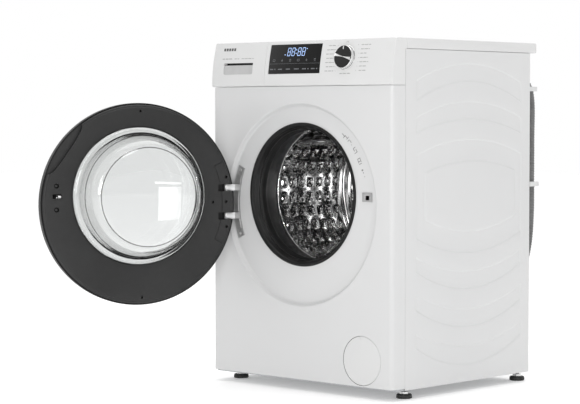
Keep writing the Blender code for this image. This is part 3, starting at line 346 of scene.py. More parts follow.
def done(ob, mat, body, replaces=(), smooth=35.0, door=False, shift=True):
    """Material, shading, place in the frame and the body it rides on."""
    me = ob.data
    me.materials.clear()
    me.materials.append(M[mat])
    if door:
        me.transform(OPEN)
    if shift:
        me.transform(Matrix.Translation(O))
    me.shade_smooth()
    me.set_sharp_from_angle(angle=math.radians(smooth))
    if body:
        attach(ob, body)
    if replaces:
        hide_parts(*replaces)
    return ob


def box_bm(x0, x1, y0, y1, z0, z1, bev=0.0, seg=2):
    bm = bmesh.new()
    bmesh.ops.create_cube(bm, size=1.0)
    bmesh.ops.scale(bm, vec=(x1 - x0, y1 - y0, z1 - z0), verts=bm.verts)
    bmesh.ops.translate(bm, vec=((x0 + x1) / 2, (y0 + y1) / 2, (z0 + z1) / 2), verts=bm.verts)
    if bev:
        bmesh.ops.bevel(bm, geom=list(bm.edges), offset=bev, segments=seg, profile=0.5, affect='EDGES')
    return bm


def cyl_bm(r, a, b, n=32, r2=None):
    a, b = Vector(a), Vector(b)
    d = b - a
    bm = bmesh.new()
    bmesh.ops.create_cone(bm, cap_ends=True, cap_tris=False, segments=n, radius1=r, radius2=r if r2 is None else r2, depth=d.length)
    rot = d.to_track_quat('Z', 'Y').to_matrix().to_4x4()
    bmesh.ops.transform(bm, matrix=Matrix.Translation((a + b) / 2) @ rot, verts=bm.verts)
    return bm


def turn(profile, n=128, cx=0.0, cz=0.0, a0=0.0, a1=360.0, closed=True):
    """Revolve [(r, y[, cz])] about an axis along Y."""
    bm = bmesh.new()
    full = abs(a1 - a0 - 360.0) < 1e-6
    steps = n if full else n + 1
    axis = {}
    rows = []
    for k in range(steps):
        t = math.radians(a0 + (a1 - a0) * k / n)
        row = []
        for i, p in enumerate(profile):
            zc = p[2] if len(p) > 2 else cz
            if p[0] < 1e-9:
                if i not in axis:
                    axis[i] = bm.verts.new((cx, p[1], zc))
                row.append(axis[i])
            else:
                row.append(bm.verts.new((cx + p[0] * math.cos(t), p[1], zc + p[0] * math.sin(t))))
        rows.append(row)
    mlen = len(profile)
    for k in range(n):
        ra, rb = rows[k], rows[(k + 1) % steps]
        for i in range(mlen if closed else mlen - 1):
            j = (i + 1) % mlen
            q = []
            for v in (ra[i], ra[j], rb[j], rb[i]):
                if v not in q:
                    q.append(v)
            if len(q) >= 3:
                bm.faces.new(q)
    if not full and closed:
        bm.faces.new(rows[0])
        bm.faces.new(rows[-1])
    return bm


def rounded(points, radius=0.001, seg=3, closed=True, radii=None):
    """Round the corners of a profile (r, y[, cz]) by cutting each with a small arc."""
    pts = [np.array(p, float) for p in points]
    n = len(pts)
    out = []
    for i, p in enumerate(pts):
        if not closed and i in (0, n - 1):
            out.append(tuple(p))
            continue
        a, b = pts[i - 1], pts[(i + 1) % n]
        da, db = a - p, b - p
        la, lb = np.linalg.norm(da[:2]), np.linalg.norm(db[:2])
        rr = radii[i] if radii else radius
        d = min(rr, la * 0.45, lb * 0.45)
        if d < 1e-6 or p[0] < 1e-9:
            out.append(tuple(p))
            continue
        s, e = p + da / la * d, p + db / lb * d
        for k in range(seg + 1):
            t = k / seg
            out.append(tuple((1 - t) ** 2 * s + 2 * t * (1 - t) * p + t * t * e))
    return out


def catmull(points, per=8, closed=False):
    """Smooth curve through points of any dimension."""
    p = [np.array(q, float) for q in points]
    n = len(p)
    out = []
    rng = range(n) if closed else range(n - 1)
    for i in rng:
        if closed:
            a, b, c, d = p[i - 1], p[i], p[(i + 1) % n], p[(i + 2) % n]
        else:
            a = p[i - 1] if i > 0 else 2 * p[0] - p[1]
            b, c = p[i], p[i + 1]
            d = p[i + 2] if i + 2 < n else 2 * p[-1] - p[-2]
        for k in range(per):
            t = k / per
            out.append(tuple(0.5 * ((2 * b) + (c - a) * t + (2 * a - 5 * b + 4 * c - d) * t * t + (-a + 3 * b - 3 * c + d) * t ** 3)))
    if not closed:
        out.append(tuple(p[-1]))
    return out


def prism(poly, axis, lo, hi):
    """Extrude a polygon along an axis: 'x' takes (y, z), 'y' takes (x, z), 'z' takes (x, y)."""
    put = {'x': lambda a, b, c: (c, a, b), 'y': lambda a, b, c: (a, c, b), 'z': lambda a, b, c: (a, b, c)}[axis]
    bm = bmesh.new()
    A = [bm.verts.new(put(a, b, lo)) for a, b in poly]
    B = [bm.verts.new(put(a, b, hi)) for a, b in poly]
    bm.faces.new(A)
    bm.faces.new(list(reversed(B)))
    for i in range(len(poly)):
        j = (i + 1) % len(poly)
        bm.faces.new((A[i], B[i], B[j], A[j]))
    return bm


def cutter(bm):
    return obj_from(bm, "cutter")


def join(bms):
    """Several closed shapes that stay separate, in one mesh."""
    out = bmesh.new()
    for b in bms:
        me = bpy.data.meshes.new("t")
        b.to_mesh(me)
        b.free()
        out.from_mesh(me)
        bpy.data.meshes.remove(me)
    return out


def sweep(path, radius_at, sides=16, caps=True):
    """Tube along a dense path with a radius that may vary along it."""
    P = np.array(path, float)
    T = np.gradient(P, axis=0)
    T /= np.linalg.norm(T, axis=1)[:, None]
    up = np.array([0, 0, 1.0]) if abs(T[0][2]) < 0.9 else np.array([1.0, 0, 0])
    N = np.cross(T[0], up)
    N /= np.linalg.norm(N)
    bm = bmesh.new()
    rings = []
    for i in range(len(P)):
        N = N - T[i] * np.dot(N, T[i])
        N /= np.linalg.norm(N)
        Bv = np.cross(T[i], N)
        r = radius_at(i)
        rings.append([bm.verts.new(P[i] + r * (math.cos(2 * math.pi * k / sides) * N + math.sin(2 * math.pi * k / sides) * Bv))
                      for k in range(sides)])
    for a, b in zip(rings[:-1], rings[1:]):
        for k in range(sides):
            j = (k + 1) % sides
            bm.faces.new((a[k], a[j], b[j], b[k]))
    if caps:
        bm.faces.new(list(reversed(rings[0])))
        bm.faces.new(rings[-1])
    return bm


def screw_head(at, normal, r=0.0040, h=0.0018):
    """Pan head with a cross recess, standing on a surface."""
    at, normal = Vector(at), Vector(normal).normalized()
    prof = [(r, 0.0), (r * 0.98, h * 0.45), (r * 0.80, h * 0.85), (r * 0.45, h), (0.0, h)]
    bm = turn([(a, b) for a, b in prof] + [(0.0, 0.0)], 24)
    ob = obj_from(bm, "screw")
    cut = join([box_bm(-r * 0.55, r * 0.55, h * 0.35, h * 1.5, -r * 0.13, r * 0.13),
                box_bm(-r * 0.13, r * 0.13, h * 0.35, h * 1.5, -r * 0.55, r * 0.55)])
    c1 = obj_from(cut, "cut")
    boolean(ob, [c1])
    rot = Vector((0, 1, 0)).rotation_difference(normal).to_matrix().to_4x4()
    ob.data.transform(Matrix.Translation(at) @ rot)
    return ob


def merge(name, obs):
    """Join objects' meshes into one object."""
    out = bmesh.new()
    for o in obs:
        out.from_mesh(o.data)
        me = o.data
        bpy.data.objects.remove(o, do_unlink=True)
        bpy.data.meshes.remove(me)
    return obj_from(out, name, recalc=False)


def smoothstep(t):
    t = np.clip(t, 0, 1)
    return t * t * (3 - 2 * t)


# ================================================================== cabinet shell
def arc(ends, middle, y0=0.082, y1=0.497):
    mid, half = (y0 + y1) / 2, (y1 - y0) / 2

    def f(y):
        u = (y - mid) / half
        return middle + (ends - middle) * u * u
    return f


FIELDS = [
    (arc(0.1175, 0.0600), arc(0.1560, 0.1120)),
    (arc(0.2070, 0.1530), arc(0.2500, 0.2020)),
    (arc(0.2985, 0.2450), arc(0.3380, 0.2945)),
    (arc(0.3770, 0.3330), arc(0.5757, 0.6145)),
    (arc(0.6214, 0.6560), arc(0.6650, 0.7055)),
    (arc(0.6980, 0.7480), arc(0.7517, 0.7965)),
]
FA, FB = 0.0830, 0.4970                       # front and rear borders of the fields
CA, CB = 0.1170, 0.4720                       # and of the raised panel in the middle field
CENTRE = (arc(0.4200, 0.3858, CA, CB), arc(0.5351, 0.5609, CA, CB))
EMBOSS, EDGE = 0.0019, 0.0060


def side_panel(name, sign):
    """Sheet steel side with shallow pressed fields: rows follow the fields' curved edges."""
    y_front, z_lo, z_hi = WRAP + 0.0006, BASE_Z + 0.0003, LID_Z - 0.0004
    ts = [0.0, 0.2, 0.4, 0.6, 0.8, 1.0]
    rows = [((lambda y: z_lo), 0.0, 0.0)]
    for k, (lo, hi) in enumerate(FIELDS):
        rows += [((lambda y, f=lo, t=t: f(min(max(y, FA), FB)) + EDGE * t), t, 0.0) for t in ts]
        if k == 3:
            c0, c1 = CENTRE
            cl = lambda y: min(max(y, CA), CB)
            rows.append(((lambda y: 0.5 * (FIELDS[3][0](min(max(y, FA), FB)) + EDGE + c0(cl(y)))), 1.0, 0.0))
            rows += [((lambda y, t=t: c0(cl(y)) + EDGE * t), 1.0, t) for t in ts]
            rows += [((lambda y, t=t: (c0(cl(y)) + EDGE) * (1 - t) + (c1(cl(y)) - EDGE) * t), 1.0, 1.0) for t in (0.25, 0.5, 0.75)]
            rows += [((lambda y, t=t: c1(cl(y)) - EDGE * t), 1.0, t) for t in reversed(ts)]
            rows.append(((lambda y: 0.5 * (c1(cl(y)) + FIELDS[3][1](min(max(y, FA), FB)) - EDGE)), 1.0, 0.0))
        else:
            rows += [((lambda y, f=lo, h=hi, t=t: (f(min(max(y, FA), FB)) + EDGE) * (1 - t) + (h(min(max(y, FA), FB)) - EDGE) * t), 1.0, 0.0)
                     for t in (0.33, 0.67)]
        rows += [((lambda y, f=hi, t=t: f(min(max(y, FA), FB)) - EDGE * t), t, 0.0) for t in reversed(ts)]
    rows.append(((lambda y: z_hi), 0.0, 0.0))
    line = [(y_front, 0.0, 0.0), (0.0650, 0.0, 0.0)] + [(FA + EDGE * t, t, 0.0) for t in ts] + [(0.1030, 1.0, 0.0)]
    line += [(CA + EDGE * t, 1.0, t) for t in ts] + [(CA + EDGE + (CB - CA - 2 * EDGE) * q / 14, 1.0, 1.0) for q in range(1, 14)]
    line += [(CB - EDGE * t, 1.0, t) for t in reversed(ts)] + [(0.4815, 1.0, 0.0)] + [(FB - EDGE * t, t, 0.0) for t in reversed(ts)]
    line += [(0.5140, 0.0, 0.0), (BACK, 0.0, 0.0)]
    bm = bmesh.new()
    grid = []
    for f, depth, centre in rows:
        row = []
        for y, t, c in line:
            d = EMBOSS * float(smoothstep(t)) * float(smoothstep(depth)) - EMBOSS * float(smoothstep(c)) * float(smoothstep(centre))
            row.append(bm.verts.new((sign * (W2 - d), y, f(y))))
        grid.append(row)
    for r0, r1 in zip(grid[:-1], grid[1:]):
        for j in range(len(r0) - 1):
            bm.faces.new((r0[j], r0[j + 1], r1[j + 1], r1[j]))
    # the sheet turns in at the back
    mid = [bm.verts.new((sign * (W2 - 0.0010), BACK + 0.0004, r[-1].co.z)) for r in grid]
    back = [bm.verts.new((sign * (W2 - 0.0115), BACK + 0.0004, r[-1].co.z)) for r in grid]
    for i in range(len(grid) - 1):
        bm.faces.new((grid[i][-1], mid[i], mid[i + 1], grid[i + 1][-1]))
        bm.faces.new((mid[i], back[i], back[i + 1], mid[i + 1]))
    bmesh.ops.recalc_face_normals(bm, faces=bm.faces)
    big = max(bm.faces, key=lambda q: q.calc_area())
    if big.normal.x * sign < 0:
        bmesh.ops.reverse_faces(bm, faces=bm.faces)
    ob = obj_from(bm, "vis_" + name, recalc=False)
    md = ob.modifiers.new("sheet", 'SOLIDIFY')
    md.thickness = 0.0010
    md.offset = -1.0
    bake(ob)
    return done(ob, "enamel", "cabinet", [name], smooth=30)


side_panel("side_left", -1)
side_panel("side_right", 1)


def front_panel():
    """Flat sheet with a softly rounded dish round the porthole; the sides run round the corners."""
    n = 160
    top, bottom = FASCIA_Z - 0.0008, BASE_Z + 0.0050
    flat = W2 - CORNER
    corners = [math.atan2(z - DOOR_Z, x) for x in (-flat, flat) for z in (bottom, top)]
    angles = [2 * math.pi * k / n for k in range(n)]
    for c in corners:
        c = c % (2 * math.pi)
        angles[min(range(len(angles)), key=lambda i: abs(angles[i] - c))] = c
    angles.sort()
    bm = bmesh.new()

    def rect(t):
        dx, dz = math.cos(t), math.sin(t)
        s = 1e9
        if abs(dx) > 1e-9:
            s = min(s, flat / abs(dx))
        if dz > 1e-9:
            s = min(s, (top - DOOR_Z) / dz)
        if dz < -1e-9:
            s = min(s, (bottom - DOOR_Z) / dz)
        return s * dx, DOOR_Z + s * dz

    outer = [bm.verts.new((rect(t)[0], 0.0, rect(t)[1])) for t in angles]
    rings = [outer]
    prof = [(DISH_R + 0.0022, 0.0, 0), (DISH_R + 0.0010, 0.0001, 0), (DISH_R, 0.0004, 0), (DISH_R - 0.0011, 0.0011, 0),
            (DISH_R - 0.0022, 0.0026, 0), (DISH_R - 0.0036, 0.0056, 0), (DISH_R - 0.0050, 0.0086, 0), (DISH_R - 0.0062, 0.0104, 0),
            (DISH_R - 0.0076, 0.0114, 0), (DISH_R - 0.0092, 0.0119, 0), (DISH_R - 0.0110, 0.0120, 0), (DISH_R - 0.0300, 0.0120, 0.2),
            (PORT_R + 0.0085, 0.0120, 1), (PORT_R + 0.0060, 0.0119, 1), (PORT_R + 0.0046, 0.0113, 1), (PORT_R + 0.0032, 0.0107, 1),
            (PORT_R + 0.0016, 0.0107, 1), (PORT_R, 0.0113, 1)]
    for r, y, w in prof:
        zc = DOOR_Z * (1 - w) + PORT_Z * w
        ring = []
        for t in angles:
            x, z = r * math.cos(t), zc + r * math.sin(t)
            # the rings outside the dish never pass the sheet's edge
            ring.append(bm.verts.new((max(-flat, min(flat, x)), y, z)))
        rings.append(ring)
    m = len(angles)
    for a, b in zip(rings[:-1], rings[1:]):
        for k in range(m):
            j = (k + 1) % m
            bm.faces.new((a[k], a[j], b[j], b[k]))
    for sign in (-1, 1):
        prev = sorted([v for v in outer if abs(v.co.x - sign * flat) < 1e-6], key=lambda v: v.co.z)
        steps = [(CORNER * math.sin(math.radians(q)), CORNER * (1 - math.cos(math.radians(q)))) for q in range(10, 91, 10)]
        for dx, dy in steps + [(CORNER, 0.028), (CORNER, WRAP)]:
            row = [bm.verts.new((sign * (flat + dx), dy, v.co.z)) for v in prev]
            for i in range(len(prev) - 1):
                bm.faces.new((prev[i], prev[i + 1], row[i + 1], row[i]))
            prev = row
    for z in (bottom, top):
        edge = sorted([v for v in outer if abs(v.co.z - z) < 1e-6], key=lambda v: v.co.x)
        row = [bm.verts.new((v.co.x, 0.014, z)) for v in edge]
        for i in range(len(edge) - 1):
            bm.faces.new((edge[i], edge[i + 1], row[i + 1], row[i]))
    bmesh.ops.recalc_face_normals(bm, faces=bm.faces)
    big = max(bm.faces, key=lambda f: f.calc_area())
    if big.normal.y > 0:
        bmesh.ops.reverse_faces(bm, faces=bm.faces)
    ob = obj_from(bm, "vis_front_panel", recalc=False)
    md = ob.modifiers.new("sheet", 'SOLIDIFY')
    md.thickness = 0.0010
    md.offset = -1.0
    bake(ob)
    boolean(ob, [cutter(cyl_bm(FILTER_R + 0.0007, (FX, -0.01, FZ), (FX, 0.02, FZ), 96)),
                 cutter(box_bm(0.2000, 0.2200, 0.002, 0.03, 0.4670, 0.4830))])
    # rounded rim of the filter's hole
    done(ob, "enamel", "cabinet", ["front_panel"], smooth=28)
    rim = obj_from(turn([(FILTER_R + 0.0010, 0.0010), (FILTER_R + 0.0010, 0.0050), (FILTER_R + 0.0022, 0.0050), (FILTER_R + 0.0022, 0.0010)],
                        96, FX, FZ), "vis_filter_rim")
    done(rim, "dark", "cabinet")
    return ob


front_panel()

# lid: laminate board in a moulded frame, with a rear lip
lid = obj_from(box_bm(-W2, W2, SEAM_Y + 0.0004, LID_BACK, LID_Z, HEIGHT), "vis_top_lid")
bevel(lid, 0.0030, 4)
boolean(lid, [cutter(box_bm(-0.2800, 0.2800, 0.0700, 0.5150, LID_Z - 0.01, LID_Z + 0.0080))])
lip = cutter(prism([(0.5345, LID_Z + 0.004), (0.5345, LID_Z - 0.0080), (0.5352, LID_Z - 0.0098), (0.5372, LID_Z - 0.0108),
                    (0.5392, LID_Z - 0.0108), (0.5408, LID_Z - 0.0098), (0.5540, LID_Z + 0.0010), (0.5560, LID_Z + 0.0040)], 'x', -0.2600, 0.2600))
boolean(lid, [lip], 'UNION')
done(lid, "lid", "cabinet", ["top_lid"], smooth=30)
# the shadow line between the lid's frame and its board
fr = join([box_bm(-W2 + 0.0130, -W2 + 0.0136, SEAM_Y + 0.012, LID_BACK - 0.012, HEIGHT - 0.0006, HEIGHT + 0.00006),
           box_bm(W2 - 0.0136, W2 - 0.0130, SEAM_Y + 0.012, LID_BACK - 0.012, HEIGHT - 0.0006, HEIGHT + 0.00006),
           box_bm(-W2 + 0.0136, W2 - 0.0136, SEAM_Y + 0.0120, SEAM_Y + 0.0126, HEIGHT - 0.0006, HEIGHT + 0.00006),
           box_bm(-W2 + 0.0136, W2 - 0.0136, LID_BACK - 0.0126, LID_BACK - 0.0120, HEIGHT - 0.0006, HEIGHT + 0.00006)])
done(obj_from(fr, "vis_lid_joint"), "print", "cabinet")


# ================================================================== control panel
def fan(zlo, zhi, n):
    return [zlo + (zhi - zlo) * k / n for k in range(n + 1)]


def face_outline(zlo, zhi, back, n=28):
    """Section of the control panel: the lower edge rolls under, the face leans back, the top edge rolls over."""
    pts = []
    r = 0.0042
    y0 = face_y(zlo + r)
    for k in range(7):
        t = math.radians(90 * k / 6)
        pts.append((y0 + r * (1 - math.sin(t)), zlo + r * (1 - math.cos(t)) * 0.9))
    for z in fan(zlo + r, zhi - 0.0024, n)[1:]:
        pts.append((face_y(z), z))
    yt = face_y(zhi - 0.0024)
    for k in range(1, 6):
        t = math.radians(90 * k / 5)
        pts.append((yt + 0.0026 * (1 - math.cos(t)), zhi - 0.0024 + 0.0024 * math.sin(t)))
    pts += [(back, zhi), (back, zlo)]
    return pts


def round_end(ob, x, r=0.0100):
    """Round the vertical front corner at the cabinet's side."""
    bm = bmesh.new()
    bm.from_mesh(ob.data)
    edges = [e for e in bm.edges if all(abs(v.co.x - x) < 1e-6 for v in e.verts) and max(v.co.y for v in e.verts) < 0.0200]
    bmesh.ops.bevel(bm, geom=edges, offset=r, segments=6, profile=0.5, affect='EDGES', clamp_overlap=True)
    bmesh.ops.recalc_face_normals(bm, faces=bm.faces)
    bm.to_mesh(ob.data)
    bm.free()


DISPLAY = (-0.1015, 0.0680, 0.7700, 0.8410)
slope = math.atan(face_slope(KNOB[1]))
KN = Vector((0.0, -math.cos(slope), math.sin(slope)))
KP = Vector((KNOB[0], face_y(KNOB[1]), KNOB[1]))

fascia = obj_from(prism(face_outline(FASCIA_Z, HEIGHT - 0.0003, SEAM_Y - 0.0002), 'x', DRAWER_X + 0.0005, W2), "vis_control_fascia")
round_end(fascia, W2)
boolean(fascia, [cutter(prism([(face_y(z) + 0.0030, z) for z in fan(FASCIA_Z + 0.0060, HEIGHT - 0.0045, 10)] +
                              [(0.08, HEIGHT - 0.0033), (0.08, FASCIA_Z + 0.0030), (0.006, FASCIA_Z + 0.0030)], 'x', DRAWER_X + 0.0034, W2 - 0.0030))])
boolean(fascia, [cutter(box_bm(-W2, DRAWER_X + 0.0020, 0.0262, 0.0292, FASCIA_Z, HEIGHT - 0.0040)),
                 cutter(box_bm(-W2, DRAWER_X + 0.0020, 0.0262, SEAM_Y - 0.0002, HEIGHT - 0.0040, HEIGHT - 0.0003)),
                 cutter(box_bm(-W2, -W2 + 0.0030, 0.0262, SEAM_Y - 0.0002, FASCIA_Z, HEIGHT - 0.0003))], 'UNION')
boolean(fascia, [cutter(box_bm(-0.2810, -0.1250, 0.0, 0.07, 0.7500, 0.8160)),
                 cutter(box_bm(0.2880, 0.31, WRAP - 0.0004, 0.06, FASCIA_Z - 0.01, LID_Z - 0.0002)),
                 cutter(box_bm(-0.31, -0.2880, WRAP - 0.0004, 0.06, FASCIA_Z - 0.01, LID_Z - 0.0002)),
                 cutter(box_bm(DISPLAY[0] - 0.0004, DISPLAY[1] + 0.0004, -0.05, 0.0300, DISPLAY[2] - 0.0004, DISPLAY[3] + 0.0004)),
                 cutter(cyl_bm(0.0045, KP - KN * 0.02, KP + KN * 0.02, 32))])
done(fascia, "white", "cabinet", ["control_fascia"], smooth=25)


def on_face(x0, x1, z0, z1, lift=0.00012, deep=0.0002, n=4):
    """Thin closed strip that follows the panel's face."""
    zs = fan(z0, z1, n)
    poly = [(face_y(z) - lift, z) for z in zs] + [(face_y(z) + deep, z) for z in reversed(zs)]
    return prism(poly, 'x', x0, x1)


glass = obj_from(prism([(face_y(z) + 0.0001, z) for z in fan(DISPLAY[2], DISPLAY[3], 20)] +
                       [(face_y(z) + 0.0026, z) for z in reversed(fan(DISPLAY[2], DISPLAY[3], 20))], 'x', DISPLAY[0], DISPLAY[1]), "vis_display_glass")
bevel(glass, 0.0004, 2)
done(glass, "blackglass", "cabinet", ["display_glass"], smooth=25)


def digit(x, z, w, h, t, segs, lift=0.00016):
    """Seven bar digit, leaning like a display's."""
    lean = 0.10
    bars = {"a": (x + t, z + h - t, x + w - t, z + h), "g": (x + t, z + h / 2 - t / 2, x + w - t, z + h / 2 + t / 2), "d": (x + t, z, x + w - t, z + t),
            "f": (x, z + h / 2 + t * 0.3, x + t, z + h - t * 0.6), "b": (x + w - t, z + h / 2 + t * 0.3, x + w, z + h - t * 0.6),
            "e": (x, z + t * 0.6, x + t, z + h / 2 - t * 0.3), "c": (x + w - t, z + t * 0.6, x + w, z + h / 2 - t * 0.3)}
    out = []
    for s in segs:
        x0, z0, x1, z1 = bars[s]
        b = on_face(x0, x1, z0, z1, lift, 0.0, 2)
        for v in b.verts:
            v.co.x += lean * (v.co.z - z)
        out.append(b)
    return out


parts = []
for dx in (-0.0440, -0.0300, -0.0100, 0.0040):
    parts += digit(dx, 0.8128, 0.0098, 0.0200, 0.0012, "abcdefg")
for dz in (0.8175, 0.8265):
    parts.append(on_face(-0.0158, -0.0134, dz, dz + 0.0026, 0.00016, 0.0))
parts.append(on_face(-0.0520, -0.0490, 0.8150, 0.8168, 0.00016, 0.0))
parts.append(on_face(0.0190, 0.0215, 0.8290, 0.8306, 0.00016, 0.0))
done(obj_from(join(parts), "vis_display_digits"), "led", "cabinet")
parts = []
# icon row, a thin dividing line, and the key captions as plain bars
for i, x in enumerate((-0.0856, -0.0586, -0.0316, -0.0046, 0.0224, 0.0494)):
    if i % 3 == 0:
        parts += [on_face(x - 0.0030, x + 0.0030, 0.8045, 0.8051), on_face(x - 0.0030, x + 0.0030, 0.8000, 0.8006),
                  on_face(x - 0.0034, x - 0.0028, 0.8000, 0.8051), on_face(x + 0.0028, x + 0.0034, 0.8000, 0.8051)]
    elif i % 3 == 1:
        parts += [on_face(x - 0.0005, x + 0.0005, 0.7994, 0.8056), on_face(x - 0.0028, x + 0.0028, 0.8020, 0.8028)]
    else:
        parts += [on_face(x - 0.0028, x + 0.0028, 0.8036 + d, 0.8042 + d) for d in (-0.0042, -0.0020, 0.0002, 0.0012)]
for x0, x1 in ((-0.0965, -0.0775), (-0.0690, -0.0560), (-0.0430, -0.0290), (-0.0160, 0.0000), (0.0110, 0.0330), (0.0400, 0.0610)):
    w = (x1 - x0) / 5
    for q in range(5):
        if q == 3 and (x1 - x0) > 0.018:
            continue
        parts.append(on_face(x0 + w * q, x0 + w * (q + 0.72), 0.7798, 0.7824))
done(obj_from(join(parts), "vis_display_marks"), "ledgrey", "cabinet")
done(obj_from(on_face(DISPLAY[0] + 0.002, DISPLAY[1] - 0.002, 0.7942, 0.7946), "vis_display_line"), "ledgrey", "cabinet")

# printed programme captions round the knob: generic bars, and a small ring over it
parts = []


def caption(x0, x1, z, h=0.0019):
    w = 0.0021
    x, k = x0, 0
    while x + w * 0.7 < x1:
        if k % 6 != 4:
            parts.append(on_face(x, x + w * 0.72, z - h / 2, z + h / 2, 0.00010, 0.0001, 2))
        x += w
        k += 1


rows_z = [0.8352 - 0.01012 * k for k in range(7)]
left = (0.0905, 0.0860, 0.0850, 0.0870, 0.0850, 0.0880, 0.0850)
right = (0.2240, 0.2215, 0.2120, 0.2185, 0.2215, 0.2155, 0.2175)
for z, a in zip(rows_z, left):
    caption(a, 0.1135, z)
for z, b in zip(rows_z, right):
    caption(0.1935, b, z)
for z, x in zip(rows_z, (0.1185, 0.1165, 0.1150, 0.1146, 0.1150, 0.1165, 0.1185)):
    parts.append(on_face(x - 0.0007, x + 0.0007, z - 0.0007, z + 0.0007, 0.00010, 0.0001, 2))
for z, x in zip(rows_z, (0.1835, 0.1868, 0.1882, 0.1886, 0.1882, 0.1868, 0.1835)):
    parts.append(on_face(x - 0.0007, x + 0.0007, z - 0.0007, z + 0.0007, 0.00010, 0.0001, 2))
caption(0.1330, 0.1660, 0.7680)
parts += [on_face(0.1445, 0.1505, 0.8440, 0.8445, 0.0001, 0.0001, 2), on_face(0.1445, 0.1450, 0.8405, 0.8440, 0.0001, 0.0001, 2),
          on_face(0.1500, 0.1505, 0.8405, 0.8440, 0.0001, 0.0001, 2)]
done(obj_from(join(parts), "vis_programme_captions"), "print", "cabinet")

# ---- programme knob: silver collar, dark cap with a bow-tie shaped bright grip
A = Matrix.Translation(KP) @ Vector((0, 1, 0)).rotation_difference(KN).to_matrix().to_4x4()


def on_axis(bm, name):
    bmesh.ops.transform(bm, matrix=A, verts=bm.verts)
    return obj_from(bm, name)


ring = on_axis(turn([(0.0280, 0.0001), (0.0300, 0.0001), (0.0300, 0.0006), (0.0296, 0.0010), (0.0288, 0.0011), (0.0280, 0.0008)], 96), "vis_knob_seat")
done(ring, "chrome", "cabinet")
R = KNOB_R
side = on_axis(turn(rounded([(R - 0.0016, 0.0018), (R + 0.0002, 0.0018), (R + 0.0006, 0.0030), (R + 0.0002, 0.0090), (R - 0.0004, 0.0102), (R - 0.0008, 0.0102),
                             (R - 0.0016, 0.0096)], 0.0004, 3), 128), "vis_knob_collar")
done(side, "chrome", "knob", smooth=40)
cap = on_axis(turn([(0.0, 0.0019), (R - 0.0018, 0.0019), (R - 0.0018, 0.0085), (R - 0.0010, 0.0098)] +
                   [(r, 0.0112 - 0.0008 * (r / R) ** 2) for r in (R - 0.0016, R - 0.0060, R - 0.0100, R - 0.0150, R - 0.0200, 0.0)], 96), "vis_knob_cap")
boolean(cap, [cutter(cyl_bm(0.0040, KP - KN * 0.0180, KP + KN * 0.0060, 24))], 'UNION')
# pointer notch
nt = box_bm(-0.0011, 0.0011, 0.0098, 0.0114, -0.0250, -0.0180)
bmesh.ops.transform(nt, matrix=A, verts=nt.verts)
done(cap, "darkgloss", "knob", ["program_knob"], smooth=30)
tilt = math.radians(12)
bow = []
for sgn in (-1, 1):
    pts = [(sgn * 0.0004, 0.0007), (sgn * 0.0110, 0.0014), (sgn * 0.0250, 0.0037), (sgn * 0.0256, 0.0000), (sgn * 0.0250, -0.0037),
           (sgn * 0.0110, -0.0014), (sgn * 0.0004, -0.0007)]
    pts = [(x * math.cos(tilt) - z * math.sin(tilt), x * math.sin(tilt) + z * math.cos(tilt)) for x, z in pts]
    b = prism(pts, 'y', 0.0080, 0.01145)
    bow.append(b)
ob = on_axis(join(bow), "vis_knob_grip")
bevel(ob, 0.0003, 2)
done(ob, "chrome", "knob", smooth=30)
pt = obj_from(nt, "vis_knob_pointer")
done(pt, "white", "knob")

# ---- drawer front: rounded shell with the grip recess and its undercut; a near-black block in the undercut is painted shadow
df = obj_from(prism(face_outline(FASCIA_Z, HEIGHT - 0.0003, 0.0258), 'x', -W2, DRAWER_X), "vis_drawer_front")
round_end(df, -W2)


def rounded_rect(x0, x1, z0, z1, r, top_r=None, n=8):
    """Outline with round corners, lower corners radius r, upper corners top_r."""
    tr = r if top_r is None else top_r
    out = []
    for cx, cz, rr, a0 in ((x1 - tr, z1 - tr, tr, 0), (x0 + tr, z1 - tr, tr, 90), (x0 + r, z0 + r, r, 180), (x1 - r, z0 + r, r, 270)):
        for k in range(n + 1):
            t = math.radians(a0 + 90 * k / n)
            out.append((cx + rr * math.cos(t), cz + rr * math.sin(t)))
    return out


cut = obj_from(prism(rounded_rect(-0.2575, -0.1570, 0.7690, 0.7985, 0.0070, 0.0015), 'y', -0.03, 0.0120), "cut")
bm = bmesh.new()
bm.from_mesh(cut.data)
for v in bm.verts:
    if v.co.y > 0:
        # shallow at the bottom, deep under the upper edge
        f = (v.co.z - 0.7690) / 0.0295
        v.co.y = face_y(v.co.z) + 0.0009 + 0.0078 * float(smoothstep(f))
bmesh.ops.recalc_face_normals(bm, faces=bm.faces)
bm.to_mesh(cut.data)
bm.free()
boolean(df, [cut])
boolean(df, [cutter(prism([(0.0045, 0.7925), (0.0165, 0.7925), (0.0165, 0.8040), (0.0045, 0.7986)], 'x', -0.2560, -0.1585))])
done(df, "white", "drawer", ["drawer_front"], smooth=25)
# painted shade: a thin grey sheet in the grip recess
recess_shade = prism(rounded_rect(-0.2570, -0.1575, 0.7695, 0.7930, 0.0066, 0.0010), 'y', -0.03, 0.0120)
for v in recess_shade.verts:
    base = face_y(v.co.z) + 0.0012
    v.co.y = base + 0.0006 if v.co.y > 0 else base - 0.0002
done(obj_from(recess_shade, "vis_drawer_grip_recess_shade"), "grip_recess_shade", "drawer")
# painted shadow: a near-black block in the grip's undercut
undercut_shadow = obj_from(prism([(0.0104, 0.7930), (0.0162, 0.7930), (0.0162, 0.8036), (0.0104, 0.8008)], 'x', -0.2556, -0.1589), "vis_drawer_grip_shadow")
done(undercut_shadow, "undercut_shadow", "drawer")
